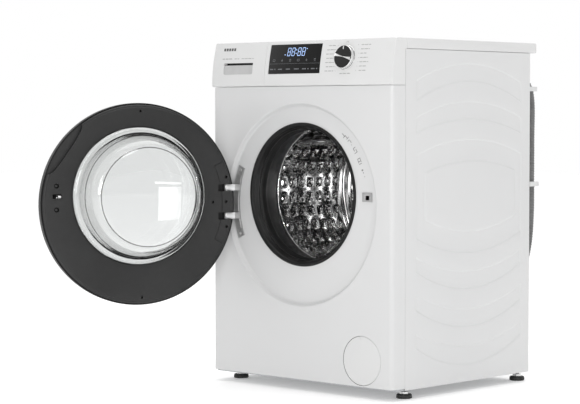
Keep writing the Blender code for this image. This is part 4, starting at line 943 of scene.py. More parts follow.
# small caption and a plain emblem on the drawer front
parts = []
mark = [on_face(-0.2640 + 0.0088 * k, -0.2640 + 0.0088 * k + 0.0060, 0.8292, 0.8360, 0.0004, 0.0002, 3) for k in range(5)]
done(obj_from(join(mark), "vis_drawer_emblem"), "printdark", "drawer")
caption(-0.2650, -0.2300, 0.8095, 0.0022)
caption(-0.2230, -0.2050, 0.8095, 0.0016)
caption(-0.1980, -0.1560, 0.8095, 0.0016)
done(obj_from(join(parts), "vis_drawer_captions"), "print", "drawer")


# ================================================================== drum
def drum_shell():
    """Stainless drum: pillow-pressed wall with a drain hole at each corner of its cells, rolled rim, ribbed back."""
    nu, nv = 40, 9                      # cells round and along
    y0, y1 = 0.1160, 0.4120
    R_IN = DRUM_R - 0.0034
    u_pos = [0.0, 0.07, 0.13, 0.18, 0.22, 0.26, 0.31, 0.37, 0.50, 0.63, 0.69, 0.74, 0.78, 0.82, 0.87, 0.93]
    pitch = (y1 - y0) / nv
    v_pos = u_pos
    us = [(k + u) for k in range(nu) for u in u_pos]
    vs = [(k + v) for k in range(nv) for v in v_pos] + [float(nv)]
    bm = bmesh.new()

    def bump(fu, fv):
        # a cell swells into the drum, flat round its edge
        a = float(smoothstep((min(fu, 1 - fu) - 0.13) / 0.24))
        b = float(smoothstep((min(fv, 1 - fv) - 0.13) / 0.24))
        return 0.0030 * a * b

    grid = []
    hole = 0.0017
    for vi, v in enumerate(vs):
        fv = v - math.floor(v + 1e-9)
        row = []
        for ui, u in enumerate(us):
            fu = u - math.floor(u + 1e-9)
            uu, vv = u, v
            # the eight points round a cell corner sit on a circle, for a drain hole
            cu, cv = round(u), round(v)
            du, dv = (u - cu) * 2 * math.pi * R_IN / nu, (v - cv) * pitch
            if abs(u - cu) < 0.05 and abs(v - cv) < 0.05 and 0 < cv < nv:
                d = math.hypot(du, dv)
                if d > 1e-6:
                    uu = cu + (u - cu) * hole / d
                    vv = cv + (v - cv) * hole / d
            t = 2 * math.pi * uu / nu
            r = R_IN - bump(fu, fv)
            row.append(bm.verts.new((r * math.cos(t), y0 + vv * pitch, PORT_Z + r * math.sin(t))))
        grid.append(row)
    n = len(us)
    for i in range(len(vs) - 1):
        cv0 = vs[i]
        for j in range(n):
            k = (j + 1) % n
            # the four faces that touch a cell corner are the hole
            on = False
            for vv in (vs[i], vs[i + 1]):
                for uu in (us[j], us[k] if k else float(nu)):
                    if abs(uu - round(uu)) < 1e-6 and abs(vv - round(vv)) < 1e-6 and 0 < round(vv) < nv:
                        on = True
            if on:
                continue
            bm.faces.new((grid[i][j], grid[i][k], grid[i + 1][k], grid[i + 1][j]))

    def ring(r, y):
        return [bm.verts.new((r * math.cos(2 * math.pi * u / nu), y, PORT_Z + r * math.sin(2 * math.pi * u / nu))) for u in us]

    front = [ring(r, y) for r, y in ((R_IN, 0.1090), (0.2362, 0.1055), (0.2330, 0.1036), (0.2280, 0.1030), (0.2100, 0.1026), (0.1800, 0.1018),
                                     (0.1705, 0.1010), (0.1672, 0.1004), (0.1655, 0.0992), (MOUTH_R + 0.0003, 0.0996))]
    back = [ring(r, y) for r, y in ((R_IN, 0.4180), (0.2370, 0.4230), (0.2340, 0.4262), (0.2290, 0.4276), (0.2150, 0.4278), (0.2120, 0.4262), (0.2060, 0.4250),
                                    (0.1900, 0.4250), (0.1840, 0.4262), (0.1810, 0.4278), (0.1300, 0.4278), (0.1270, 0.4262), (0.1210, 0.4248),
                                    (0.1000, 0.4248), (0.0940, 0.4262), (0.0910, 0.4278), (0.0600, 0.4278), (0.0560, 0.4240), (0.0480, 0.4215), (0.0200, 0.4205))]
    for seq in ([grid[0]] + front, [grid[-1]] + back):
        for a, b in zip(seq[:-1], seq[1:]):
            for j in range(n):
                k = (j + 1) % n
                bm.faces.new((a[j], a[k], b[k], b[j]))
    c = bm.verts.new((0, 0.4205, PORT_Z))
    last = back[-1]
    for j in range(n):
        bm.faces.new((last[j], last[(j + 1) % n], c))
    for v in [v for v in bm.verts if not v.link_faces]:
        bm.verts.remove(v)
    bmesh.ops.recalc_face_normals(bm, faces=bm.faces)
    # faces look into the drum, the thickness goes outwards
    f = max(bm.faces, key=lambda q: q.calc_area())
    q = min(bm.faces, key=lambda q: abs(q.calc_center_median().y - 0.26))
    cc = q.calc_center_median()
    if q.normal.dot(Vector((cc.x, 0, cc.z - PORT_Z))) > 0:
        bmesh.ops.reverse_faces(bm, faces=bm.faces)
    ob = obj_from(bm, "vis_drum_shell", recalc=False)
    md = ob.modifiers.new("sheet", 'SOLIDIFY')
    md.thickness = 0.0007
    md.offset = -1.0
    bake(ob)
    # painted shade: the back wall's vertices are marked here for a darker, rougher steel
    drum_back_shade = ob.data.attributes.new("drum_back_shade", 'FLOAT', 'POINT')
    for v in ob.data.vertices:
        drum_back_shade.data[v.index].value = 0.85 if v.co.y > 0.4195 else 0.0
    return done(ob, "stainless", "drum", ["drum_shell"], smooth=40)


drum_shell()
# rolled lip of the drum's mouth
done(obj_from(turn([(MOUTH_R + 0.0011 + 0.0011 * math.cos(math.radians(a)), 0.0986 + 0.0011 * math.sin(math.radians(a))) for a in range(0, 360, 45)],
                   160, 0.0, PORT_Z), "vis_drum_lip"), "chrome", "drum", smooth=60)

for k, deg in enumerate((8.0, 128.0, 248.0)):
    bm = bmesh.new()
    sect = catmull([(-0.0300, 0.0), (-0.0225, 0.0110), (-0.0150, 0.0285), (-0.0085, 0.0392), (0.0, 0.0420), (0.0085, 0.0392), (0.0150, 0.0285),
                    (0.0225, 0.0110), (0.0300, 0.0)], 4)
    rings = []
    for y, f in ((0.1180, 0.55), (0.1200, 0.74), (0.1240, 0.90), (0.1300, 0.97), (0.1400, 1.0), (0.1900, 1.0), (0.2400, 1.0), (0.2950, 1.0), (0.3500, 1.0),
                 (0.3950, 1.0), (0.4060, 0.97), (0.4130, 0.90), (0.4175, 0.78), (0.4195, 0.60)):
        row = []
        for u, v in sect:
            base = DRUM_R - 0.0015 - 0.0022
            uu = u * (0.60 + 0.40 * f)
            # shallow waves along the crest
            w = v * f * (1.0 + 0.02 * math.cos((y - 0.14) * 2 * math.pi / 0.052) * (1 if 0.13 < y < 0.41 else 0))
            row.append(bm.verts.new((uu, y, -(math.sqrt(base ** 2 - uu * uu) - w))))
        rings.append(row)
    for a, b in zip(rings[:-1], rings[1:]):
        for i in range(len(sect)):
            j = (i + 1) % len(sect)
            bm.faces.new((a[i], a[j], b[j], b[i]))
    bm.faces.new(rings[0])
    bm.faces.new(rings[-1])
    bmesh.ops.transform(bm, matrix=Matrix.Translation((0, 0, PORT_Z)) @ Matrix.Rotation(math.radians(deg), 4, 'Y'), verts=bm.verts)
    done(obj_from(bm, "vis_lifter_%d" % (k + 1)), "stainless", "drum", ["lifter_%d" % (k + 1)], smooth=50)

# ================================================================== gasket: lip over the panel's edge, folds, lip round the tub's mouth
gp = [(GASKET_R, 0.0086), (GASKET_R + 0.0002, 0.0100), (GASKET_R, 0.0106), (PORT_R - 0.0012, 0.0104), (PORT_R - 0.0012, 0.0136), (0.1742, 0.0138), (0.1744, 0.0190),
      (0.1772, 0.0300), (0.1780, 0.0400), (0.1768, 0.0540), (0.1748, 0.0630), (0.1765, 0.0662), (0.1765, 0.0790), (0.1731, 0.0790), (0.1729, 0.0672),
      (0.1690, 0.0610), (0.1622, 0.0540), (0.1580, 0.0500), (0.1560, 0.0478), (0.1562, 0.0462), (0.1585, 0.0452), (0.1640, 0.0440), (0.1685, 0.0415),
      (0.1698, 0.0385), (0.1680, 0.0345), (0.1640, 0.0305), (0.1602, 0.0272), (0.1592, 0.0250), (0.1598, 0.0225), (0.1622, 0.0180), (0.1630, 0.0160), (0.1626, 0.0145),
      (0.1636, 0.0128), (0.1652, 0.0104), (0.1664, 0.0086), (0.1680, 0.0076), (0.1705, 0.0072), (0.1730, 0.0075)]
gk = obj_from(turn(gp, 128, 0.0, PORT_Z), "vis_gasket")
gk.data.materials.clear()
gk.data.materials.append(M["rubber"])
gk.data.transform(Matrix.Translation(O))
gk.data.shade_smooth()
gk.data.set_sharp_from_angle(angle=math.radians(55))
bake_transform(gk)
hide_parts("gasket")
sl = obj_from(turn([(0.1683, 0.0560), (0.1683, 0.0925), (0.1676, 0.0940), (0.1664, 0.0944), (0.1656, 0.0936), (0.1656, 0.0640), (0.1640, 0.0560)], 128, 0.0, PORT_Z), "vis_gasket_sleeve")
done(sl, "rubber", "tub", smooth=50)
# wire clamp in the lip's groove, and the spray nozzle at the top of the gasket
cl = obj_from(turn([(GASKET_R - 0.0046 + 0.0011 * math.cos(math.radians(a)), 0.0078 + 0.0009 * math.sin(math.radians(a))) for a in range(0, 360, 60)],
                   128, 0.0, PORT_Z), "vis_gasket_clamp")
done(cl, "rubber", "cabinet", smooth=60)
nz = join([cyl_bm(0.0048, (-0.030, 0.0560, PORT_Z + 0.1600), (-0.026, 0.0500, PORT_Z + 0.1490), 24, 0.0036),
           cyl_bm(0.0062, (-0.0312, 0.0580, PORT_Z + 0.1640), (-0.030, 0.0560, PORT_Z + 0.1592), 24)])
done(obj_from(nz, "vis_spray_nozzle"), "greyplate", "tub", smooth=40)

# ================================================================== door (modelled closed, then opened with OPEN)
D, G = DOOR_Z, GLASS_Z
hx, hy = HX, HY
front = obj_from(turn([(DOOR_R, -0.0040, D), (DOOR_R + 0.0000, -0.0120, D), (DOOR_R, -0.0205, D), (DOOR_R - 0.0003, -0.0235, D), (DOOR_R - 0.0010, -0.0265, D),
                       (DOOR_R - 0.0024, -0.0300, D), (DOOR_R - 0.0046, -0.0332, D), (DOOR_R - 0.0076, -0.0354, D), (DOOR_R - 0.0110, -0.0367, D), (0.2150, -0.0388, D),
                       (0.1960, -0.0408, G), (0.1740, -0.0428, G), (0.1700, -0.0432, G), (0.1668, -0.0430, G), (0.1652, -0.0422, G), (0.1650, -0.0395, G),
                       (0.1720, -0.0400, G), (0.2340, -0.0335, D), (0.2415, -0.0290, D), (0.2441, -0.0215, D), (0.2441, -0.0040, D), (0.2450, -0.0032, D), (0.2466, -0.0032, D)],
                      192), "vis_door_front")
inner_profile = [(0.2405, -0.0270, D), (0.2437, -0.0200, D), (0.2437, -0.0022, D), (0.2433, -0.0006, D), (0.2420, 0.0010, D), (0.2404, 0.0020, D), (0.2392, 0.0024, D),
                 (0.2380, 0.0024, D), (0.2374, 0.0030, D), (0.2366, 0.0038, D), (0.2352, 0.0040, D), (0.2200, 0.0040, D), (0.1960, 0.0040, G), (0.1760, 0.0040, G),
                 (0.1722, 0.0039, G), (0.1698, 0.0034, G), (0.1684, 0.0026, G), (0.1680, 0.0016, G), (0.1680, -0.0080, G), (0.2000, -0.0080, D), (0.2000, -0.0270, D)]
inner = obj_from(turn(inner_profile, 192), "vis_door_inner")
arm_cut = [box_bm(-0.2600, hx + 0.0290, -0.0262, 0.0100, az - 0.0088, az + 0.0088) for az in ARM_Z]
pin_cut = cyl_bm(0.0033, (hx, hy, 0.4074), (hx, hy, 0.5008), 24)
boolean(front, [cutter(b.copy()) for b in arm_cut] + [cutter(pin_cut.copy())])
cuts = [cutter(b) for b in arm_cut] + [cutter(pin_cut)]
hs = box_bm(0.1970, 0.2190, -0.0200, 0.0100, 0.4680, 0.4790)
cuts.append(cutter(hs))
# grip scoop: a chord-shaped recess in the rim
def polar(r, a):
    return (r * math.cos(math.radians(a)), D + r * math.sin(math.radians(a)))


scoop = [polar(0.2530, 16.2), polar(0.2464, 17.4), polar(0.2350, 19.4), polar(0.2267, 23.6), polar(0.2225, 29.0), polar(0.2212, 35.0), polar(0.2220, 40.0), polar(0.2250, 45.0),
         polar(0.2310, 49.5), polar(0.2384, 52.6), polar(0.2530, 54.5)]
scoop = catmull(scoop, 5) + [polar(0.2620, 50), polar(0.2640, 35), polar(0.2620, 20)]
cuts.append(cutter(prism(scoop, 'y', -0.0050, 0.02)))
# screw recesses
for x, z, r in ((0.2090, 0.4990, 0.0062), (0.2090, 0.4412, 0.0062), (-0.0023, 0.6795, 0.0030), (-0.0045, 0.2229, 0.0030), (-0.2234, 0.5158, 0.0038), (-0.2233, 0.4549, 0.0038),
                (-0.1891, 0.4542, 0.0036), (-0.2245, 0.3927, 0.0038)):
    cuts.append(cutter(cyl_bm(r, (x, -0.0045, z), (x, 0.01, z), 28)))
# outline of the hinge's cover
def arc_groove(r, a0, a1, w=0.0010):
    return turn([(r - w, 0.0026), (r + w, 0.0026), (r + w, 0.0060), (r - w, 0.0060)], 28, 0.0, D, a0, a1)


cuts.append(cutter(arc_groove(0.2130, 154.5, 205.0)))
for a in (154.5, 205.0):
    b = box_bm(0.2130, 0.2480, 0.0020, 0.0060, -0.0010, 0.0010)
    bmesh.ops.transform(b, matrix=Matrix.Translation((0, 0, D)) @ Matrix.Rotation(math.radians(-a), 4, 'Y'), verts=b.verts)
    cuts.append(cutter(b))
b = box_bm(-0.2120, -0.1800, 0.0034, 0.0060, 0.4700, 0.4706)
cuts.append(cutter(b))
boolean(inner, cuts)
done(front, "darkgloss", "door", ["door_front"], smooth=32, door=True)
done(inner, "dark", "door", ["door_inner"], smooth=32, door=True)
heads = []
for x, z, r in ((0.2090, 0.4990, 0.0050), (0.2090, 0.4412, 0.0050), (-0.2234, 0.5158, 0.0029), (-0.2233, 0.4549, 0.0029), (-0.1891, 0.4542, 0.0028), (-0.2245, 0.3927, 0.0029),
                (-0.0023, 0.6795, 0.0023), (-0.0045, 0.2229, 0.0023)):
    heads.append(screw_head((x, -0.0044, z), (0, 1, 0), r, 0.0060 if r > 0.004 else 0.0020))
done(merge("vis_door_screws", heads), "dark", "door", door=True)

# the bowl: radius, depth, and a glass tint value (1 clear, 0.5 flange and wall, 0 the dark line where an edge turns).
# The clear face's grey is the glass's own tint; the greyer flange and wall and the near-black edge lines are painted
# shade.
bowl = [(0.0, 0.0852, 1), (0.0300, 0.0850, 1), (0.0600, 0.0844, 1), (0.0850, 0.0835, 1), (0.1000, 0.0828, 1), (0.1120, 0.0820, 1), (0.1180, 0.0814, 1), (0.1188, 0.0813, 0), (0.1206, 0.0809, 0),
        (0.1214, 0.0807, 0.7), (0.1268, 0.0788, 0.7), (0.1312, 0.0762, 0.6), (0.1345, 0.0725, 0.6), (0.1368, 0.0680, 0.5),
        (0.1440, 0.0470, 0.5), (0.1468, 0.0385, 0.5), (0.1471, 0.0375, 0), (0.1478, 0.0352, 0), (0.1482, 0.0342, 0.5), (0.1492, 0.0312, 0.5), (0.1508, 0.0245, 0.4), (0.1520, 0.0180, 0.4),
        (0.1530, 0.0138, 0.4), (0.1545, 0.0108, 0.4), (0.1568, 0.0085, 0.4), (0.1610, 0.0064, 0.4), (0.1655, 0.0042, 0.4), (0.1667, 0.0030, 0.4),
        (0.1670, 0.0012, 0.4), (0.1670, -0.0066, 0.4), (0.1662, -0.0074, 0.4), (0.1640, -0.0070, 0.4), (0.1600, -0.0052, 0.4), (0.1560, -0.0034, 0.4), (0.1530, -0.0006, 0.5), (0.1505, 0.0040, 0.5),
        (0.1488, 0.0120, 0.6), (0.1474, 0.0220, 0.6), (0.1455, 0.0310, 0.7), (0.1400, 0.0470, 0.7), (0.1336, 0.0650, 0.8), (0.1312, 0.0698, 0.9), (0.1280, 0.0730, 1), (0.1236, 0.0752, 1),
        (0.1180, 0.0766, 1), (0.1090, 0.0777, 1), (0.0850, 0.0792, 1), (0.0600, 0.0801, 1), (0.0300, 0.0807, 1), (0.0, 0.0809, 1)]
gl = obj_from(turn([(r, y, G) for r, y, t_ in bowl], 192), "vis_door_glass")
glass_tint_and_shade = gl.data.attributes.new("glass_tint_and_shade", 'FLOAT', 'POINT')
keys_ = [(r, y) for r, y, t_ in bowl]
for v in gl.data.vertices:
    rr_ = math.hypot(v.co.x, v.co.z - G)
    k_ = min(range(len(keys_)), key=lambda i: (keys_[i][0] - rr_) ** 2 + (keys_[i][1] - v.co.y) ** 2)
    glass_tint_and_shade.data[v.index].value = bowl[k_][2]
done(gl, "glass", "door", ["door_glass"], smooth=60, door=True)
wn = obj_from(turn([(0.0, -0.0475, G), (0.0600, -0.0470, G), (0.1000, -0.0462, G), (0.1400, -0.0446, G), (0.1640, -0.0428, G), (0.1644, -0.0418, G), (0.1644, -0.0398, G), (0.1400, -0.0418, G),
                    (0.1000, -0.0432, G), (0.0600, -0.0440, G), (0.0, -0.0445, G)], 160), "vis_door_window")
done(wn, "window", "door", ["door_window"], smooth=60, door=True)
done(obj_from(cyl_bm(0.0029, (hx, hy, 0.4078), (hx, hy, 0.5004), 32), "vis_hinge_pin"), "steel", "door", ["hinge_pin"], door=True)
# thin bright trim round the window on the door's outer face
done(obj_from(turn([(0.1700, -0.0437, G), (0.1708, -0.0443, G), (0.1724, -0.0442, G), (0.1732, -0.0434, G), (0.1732, -0.0424, G), (0.1700, -0.0424, G)], 160), "vis_door_trim"),
     "chrome", "door", smooth=50, door=True)
hkx, hkz = HOOK
hk = obj_from(prism([(-0.0190, hkz - 0.0035), (-0.0190, hkz + 0.0035), (0.0290, hkz + 0.0035), (0.0312, hkz + 0.0026), (0.0326, hkz + 0.0008), (0.0326, hkz - 0.0008), (0.0312, hkz - 0.0026),
                     (0.0290, hkz - 0.0035), (0.0222, hkz - 0.0035), (0.0218, hkz - 0.0014), (0.0205, hkz - 0.0010), (0.0130, hkz - 0.0010), (0.0120, hkz - 0.0018), (0.0120, hkz - 0.0035)],
                    'x', hkx - 0.0025, hkx + 0.0045), "vis_door_hook")
bevel(hk, 0.0005, 2)
done(hk, "steel", "hook", ["door_hook"], smooth=30, door=True)

# ================================================================== hinge strip, latch plate, pale symbol strip, filter
hb = obj_from(turn([(0.2130, 0.0095), (0.2340, 0.0095), (0.2340, 0.0117), (0.2130, 0.0117)], 48, 0.0, DOOR_Z, 156.5, 202.5), "vis_hinge_bracket")
# a raised stiffening pad along the strip
pad = cutter(turn([(0.2165, 0.0088), (0.2305, 0.0088), (0.2318, 0.0097), (0.2152, 0.0097)], 40, 0.0, DOOR_Z, 162, 197))
boolean(hb, [pad], 'UNION')
bevel(hb, 0.0004, 2)
done(hb, "greyplate", "cabinet", ["hinge_bracket"], smooth=30)


def arm_outline(r, foot0, foot1, y):
    pts = []
    for k in range(19):
        t = math.radians(150 + 190 * k / 18)
        pts.append((hx + r * math.cos(t), hy + r * math.sin(t)))
    return pts + [(foot1, y), (foot0, y)]


for i, az in enumerate(ARM_Z):
    # bright knuckle round the pin, dull foot where the arm meets the strip
    for part, mat, y0_, y1_ in (("arm", "palesteel", -0.0030, 0.05), ("foot", "greyplate", -0.05, -0.0030)):
        arm = obj_from(prism(arm_outline(0.0055, -0.2240, -0.2095, 0.0092), 'z', az - 0.0078, az + 0.0078), "vis_hinge_%s_%d" % (part, i + 1))
        boolean(arm, [cutter(cyl_bm(0.0033, (hx, hy, 0.38), (hx, hy, 0.54), 32))])
        bevel(arm, 0.0006, 2)
        boolean(arm, [cutter(box_bm(-0.30, -0.15, y0_, y1_, 0.38, 0.54))])
        done(arm, mat, "cabinet", smooth=30)
heads = [screw_head((0.2235 * math.cos(math.radians(a)), 0.0095, DOOR_Z + 0.2235 * math.sin(math.radians(a))), (0, -1, 0), 0.0036, 0.0018) for a in (158.8, 200.2)]
done(merge("vis_hinge_screws", heads), "steel", "cabinet")

lp = obj_from(prism(rounded_rect(0.1945, 0.2240, 0.4648, 0.4868, 0.0016), 'y', 0.0095, 0.0117), "vis_latch_plate")
boolean(lp, [cutter(prism(rounded_rect(0.2050, 0.2160, 0.4690, 0.4795, 0.0008), 'y', 0.0, 0.03))])
bevel(lp, 0.0004, 2)
done(lp, "greyplate", "cabinet", ["latch_plate"], smooth=30)
done(merge("vis_latch_screws", [screw_head((x, 0.0095, 0.4758), (0, -1, 0), 0.0022, 0.0008) for x in (0.1992, 0.2202)]), "greyplate", "cabinet")

# faint generic symbols printed beside the porthole
sym = []


def panel_bar(x, z, w, h, a):
    b = box_bm(-w / 2, w / 2, 0.01185, 0.01205, -h / 2, h / 2)
    bmesh.ops.transform(b, matrix=Matrix.Translation((x, 0, z)) @ Matrix.Rotation(math.radians(-a), 4, 'Y'), verts=b.verts)
    sym.append(b)


for a, w, h, r in ((47.5, 0.0016, 0.0120, 0.197), (46.3, 0.0090, 0.0016, 0.1955), (45.0, 0.0016, 0.0090, 0.200), (43.4, 0.0090, 0.0016, 0.201), (41.6, 0.0070, 0.0016, 0.1995),
                   (40.0, 0.0016, 0.0080, 0.203), (37.6, 0.0018, 0.0018, 0.200), (34.6, 0.0080, 0.0016, 0.203), (33.4, 0.0018, 0.0070, 0.1995), (32.2, 0.0016, 0.0070, 0.2055),
                   (31.0, 0.0100, 0.0016, 0.202), (26.4, 0.0090, 0.0016, 0.2025), (25.0, 0.0016, 0.0110, 0.1985), (25.0, 0.0016, 0.0110, 0.2065), (24.4, 0.0060, 0.0016, 0.2025),
                   (22.6, 0.0090, 0.0016, 0.2025), (18.0, 0.0050, 0.0040, 0.2030), (16.2, 0.0016, 0.0040, 0.2040), (13.4, 0.0018, 0.0018, 0.206)):
    t = math.radians(a)
    panel_bar(r * math.cos(t), PORT_Z + r * math.sin(t), w, h, a)
done(obj_from(join(sym), "vis_porthole_symbols"), "faint2", "cabinet")

flap = obj_from(turn([(0.0, -0.0004), (FILTER_R - 0.0030, -0.0004), (FILTER_R - 0.0016, -0.0002), (FILTER_R - 0.0005, 0.0004), (FILTER_R, 0.0014), (FILTER_R, 0.0030), (0.0, 0.0030)],
                     128, FX, FZ), "vis_filter_cover")
boolean(flap, [cutter(cyl_bm(0.0068, (FX, -0.0100, FZ + FILTER_R + 0.0010), (FX, 0.0012, FZ + FILTER_R - 0.0012), 40))])
done(flap, "white", "flap", ["filter_cover"], smooth=30)
# filter cap: fluted rim and a bar grip
cap = obj_from(turn(rounded([(0.0, 0.0300), (0.0300, 0.0300), (0.0320, 0.0320), (0.0320, 0.0470), (0.0300, 0.0490), (0.0300, 0.0780), (0.0, 0.0780)], 0.0008, 3), 96, FX, FZ),
               "vis_filter_cap")
boolean(cap, [cutter(box_bm(FX - 0.0260, FX + 0.0260, 0.0180, 0.0310, FZ - 0.0045, FZ + 0.0045, 0.0015, 3))], 'UNION')
fl = join([cyl_bm(0.0013, (FX + 0.0326 * math.cos(math.radians(a)), 0.0318, FZ + 0.0326 * math.sin(math.radians(a))),
                  (FX + 0.0326 * math.cos(math.radians(a)), 0.0460, FZ + 0.0326 * math.sin(math.radians(a))), 10) for a in range(0, 360, 12)])
boolean(cap, [cutter(fl)])
done(cap, "blue", "plug", ["filter_cap"], smooth=30)
fh = obj_from(turn([(0.0572, 0.0042), (0.0572, 0.0500), (0.0380, 0.0500), (0.0380, 0.0900), (0.0, 0.0900), (0.0, 0.0860), (0.0345, 0.0860), (0.0345, 0.0465), (0.0545, 0.0465),
                    (0.0545, 0.0042)], 96, FX, FZ), "vis_filter_housing")
done(fh, "greyplastic", "cabinet", ["filter_housing"], smooth=30)

# ================================================================== back of the cabinet
BK = 0.5300
bp = obj_from(box_bm(-0.2955, 0.2955, 0.5288, BK, 0.0425, 0.8200), "vis_back_panel")
ac = PORT_Z - 0.080
boolean(bp, [cutter(cyl_bm(0.1750, (0, 0.50, ac), (0, 0.55, ac), 128)),
             cutter(prism(rounded_rect(0.2120, 0.2520, 0.1480, 0.2280, 0.012), 'y', 0.50, 0.55)),
             cutter(cyl_bm(0.0160, (-0.2300, 0.50, 0.7700), (-0.2300, 0.55, 0.7700), 40)),
             cutter(cyl_bm(0.0090, (-0.1600, 0.50, 0.7700), (-0.1600, 0.55, 0.7700), 32))] +
        [cutter(prism(rounded_rect(x - 0.0016, x + 0.0016, 0.7600, 0.7900, 0.0015, None, 4), 'y', 0.50, 0.55)) for x in [0.0100 * k for k in range(-6, 7)]])
done(bp, "galv", "cabinet", ["back_panel"], smooth=30)


def rib(x0, x1, z0, z1, h=0.0022, w=0.0090):
    """Pressed rib standing out of the back: a long closed pad with sloped sides."""
    bm = bmesh.new()
    lo = [(x0, z0), (x1, z0), (x1, z1), (x0, z1)]
    s = min(w, (x1 - x0) / 2 - 0.001, (z1 - z0) / 2 - 0.001)
    hi = [(x0 + s, z0 + s), (x1 - s, z0 + s), (x1 - s, z1 - s), (x0 + s, z1 - s)]
    A1 = [bm.verts.new((x, BK - 0.0003, z)) for x, z in lo]
    B1 = [bm.verts.new((x, BK + h, z)) for x, z in hi]
    bm.faces.new(A1)
    bm.faces.new(B1)
    for i in range(4):
        j = (i + 1) % 4
        bm.faces.new((A1[i], A1[j], B1[j], B1[i]))
    return bm


ribs = [rib(-0.2700, -0.2450, 0.1000, 0.7000), rib(-0.2300, -0.1900, 0.6300, 0.6480), rib(-0.1500, 0.0400, 0.6700, 0.6880), rib(-0.1500, 0.1700, 0.0900, 0.1080),
        rib(-0.0900, 0.0500, 0.7080, 0.7260), rib(-0.2300, -0.1900, 0.1600, 0.1780)]
rb = obj_from(join(ribs), "vis_back_ribs")
bevel(rb, 0.0012, 3, 10)
done(rb, "galv", "cabinet", smooth=50)
sc = obj_from(turn([(0.0, 0.5240), (0.0500, 0.5240), (0.0540, 0.5262), (0.1100, 0.5262), (0.1140, 0.5240), (0.1590, 0.5240), (0.1620, 0.5246), (0.1690, 0.5296), (0.1715, 0.5304),
                    (0.1860, 0.5304), (0.1864, 0.5310), (0.1860, 0.5318), (0.1710, 0.5318), (0.1684, 0.5308), (0.1612, 0.5258), (0.1588, 0.5254), (0.1146, 0.5254), (0.1106, 0.5276),
                    (0.0534, 0.5276), (0.0494, 0.5254), (0.0, 0.5254)], 128, 0.0, ac), "vis_service_cover")
done(sc, "galv", "cabinet", ["service_cover"], smooth=30)
heads = [screw_head((0.1788 * math.cos(math.radians(a)), 0.5318, ac + 0.1788 * math.sin(math.radians(a))), (0, 1, 0), 0.0042, 0.0024) for a in (30, 75, 120, 165, 210, 255, 300, 345)]
heads += [screw_head((x, BK, z), (0, 1, 0), 0.0044, 0.0026) for x in (-0.2885, 0.2885) for z in (0.0700, 0.2500, 0.4300, 0.6400, 0.8050)]
heads += [screw_head((x, BK, 0.8120), (0, 1, 0), 0.0044, 0.0026) for x in (-0.1200, 0.0000, 0.1250)]
done(merge("vis_back_screws", heads), "steel", "cabinet")
# four moulded caps over the transport bolt holes
caps = []
for x, z in ((-0.2120, 0.5900), (0.2250, 0.5300), (-0.2120, 0.2000), (0.1800, 0.2000)):
    c = obj_from(turn(rounded([(0.0, BK - 0.0003), (0.0190, BK - 0.0003), (0.0190, BK + 0.0030), (0.0165, BK + 0.0046), (0.0110, BK + 0.0046), (0.0090, BK + 0.0020), (0.0, BK + 0.0020)],
                              0.0008, 3), 64, x, z), "cap")
    caps.append(c)
done(merge("vis_transit_caps", caps), "greyplastic", "cabinet", smooth=35)
# inlet: threaded spigot with a flange
iv = obj_from(turn([(0.0095, 0.5060), (0.0130, 0.5060)] + [q for k in range(9) for q in ((0.0130, 0.5360 + 0.0020 * k), (0.0122, 0.5370 + 0.0020 * k))] +
                   [(0.0130, 0.5545), (0.0124, 0.5558), (0.0100, 0.5558), (0.0095, 0.5550)], 96, -0.2300, 0.7700), "vis_inlet_valve")
boolean(iv, [cutter(turn([(0.0110, 0.5306), (0.0200, 0.5306), (0.0200, 0.5330), (0.0192, 0.5336), (0.0110, 0.5336)], 64, -0.2300, 0.7700)),
             cutter(turn([(0.0, 0.5085), (0.0110, 0.5085), (0.0110, 0.5105), (0.0, 0.5105)], 48, -0.2300, 0.7700))], 'UNION')
done(iv, "greyplastic", "cabinet", smooth=30)
body = obj_from(box_bm(-0.2500, -0.2100, 0.4600, 0.5060, 0.7500, 0.7900, 0.003, 3), "vis_inlet_body")
done(body, "greyplastic", "cabinet", ["inlet_valve"], smooth=30)
cg = obj_from(turn(rounded([(0.0030, 0.5240), (0.0085, 0.5240), (0.0085, 0.5306), (0.0130, 0.5306), (0.0128, 0.5340), (0.0110, 0.5420), (0.0060, 0.5424), (0.0030, 0.5400)], 0.0006, 3),
                   64, -0.1600, 0.7700), "vis_cord_gland")
done(cg, "blackrubber", "cabinet", ["cord_gland"], smooth=30)
plug = obj_from(turn([(0.0, 0.5300), (0.0029, 0.5300), (0.0029, 0.5404), (0.0, 0.5404)], 32, -0.1600, 0.7700), "vis_gland_plug")
done(plug, "hose", "cabinet")

# ---- drain hose: fine corrugations, smooth cuffs at both ends
HOSE_R, HOSE_Y, HOSE_X, BEND = 0.0115, 0.5490, 0.2850, 0.0900
BEND_X, BEND_Z = HOSE_X - BEND, 0.7000
hose_pts = [(0.1525, 0.2610, 0.0800), (0.1535, 0.3200, 0.0800), (0.1680, 0.3800, 0.0840), (0.1880, 0.4400, 0.0980), (0.2080, 0.4900, 0.1290), (0.2270, 0.5250, 0.1780),
            (0.2440, 0.5430, 0.2300), (0.2630, HOSE_Y, 0.2850), (0.2790, HOSE_Y, 0.3500), (HOSE_X, HOSE_Y, 0.4300), (HOSE_X, HOSE_Y, 0.5200), (HOSE_X, HOSE_Y, 0.6100)]
for deg in range(0, 181, 30):
    t = math.radians(deg)
    hose_pts.append((BEND_X + BEND * math.cos(t), HOSE_Y, BEND_Z + BEND * math.sin(t)))
hose_pts += [(BEND_X - BEND, HOSE_Y, 0.6100), (BEND_X - BEND, HOSE_Y, 0.5000), (BEND_X - BEND, HOSE_Y, 0.3600)]
dense = np.array(catmull(hose_pts, 60))
seg = np.linalg.norm(np.diff(dense, axis=0), axis=1)
cum = np.concatenate([[0], np.cumsum(seg)])
step = 0.0011
count = int(cum[-1] / step)
ss = np.linspace(0, cum[-1], count)
path = np.stack([np.interp(ss, cum, dense[:, i]) for i in range(3)], 1)
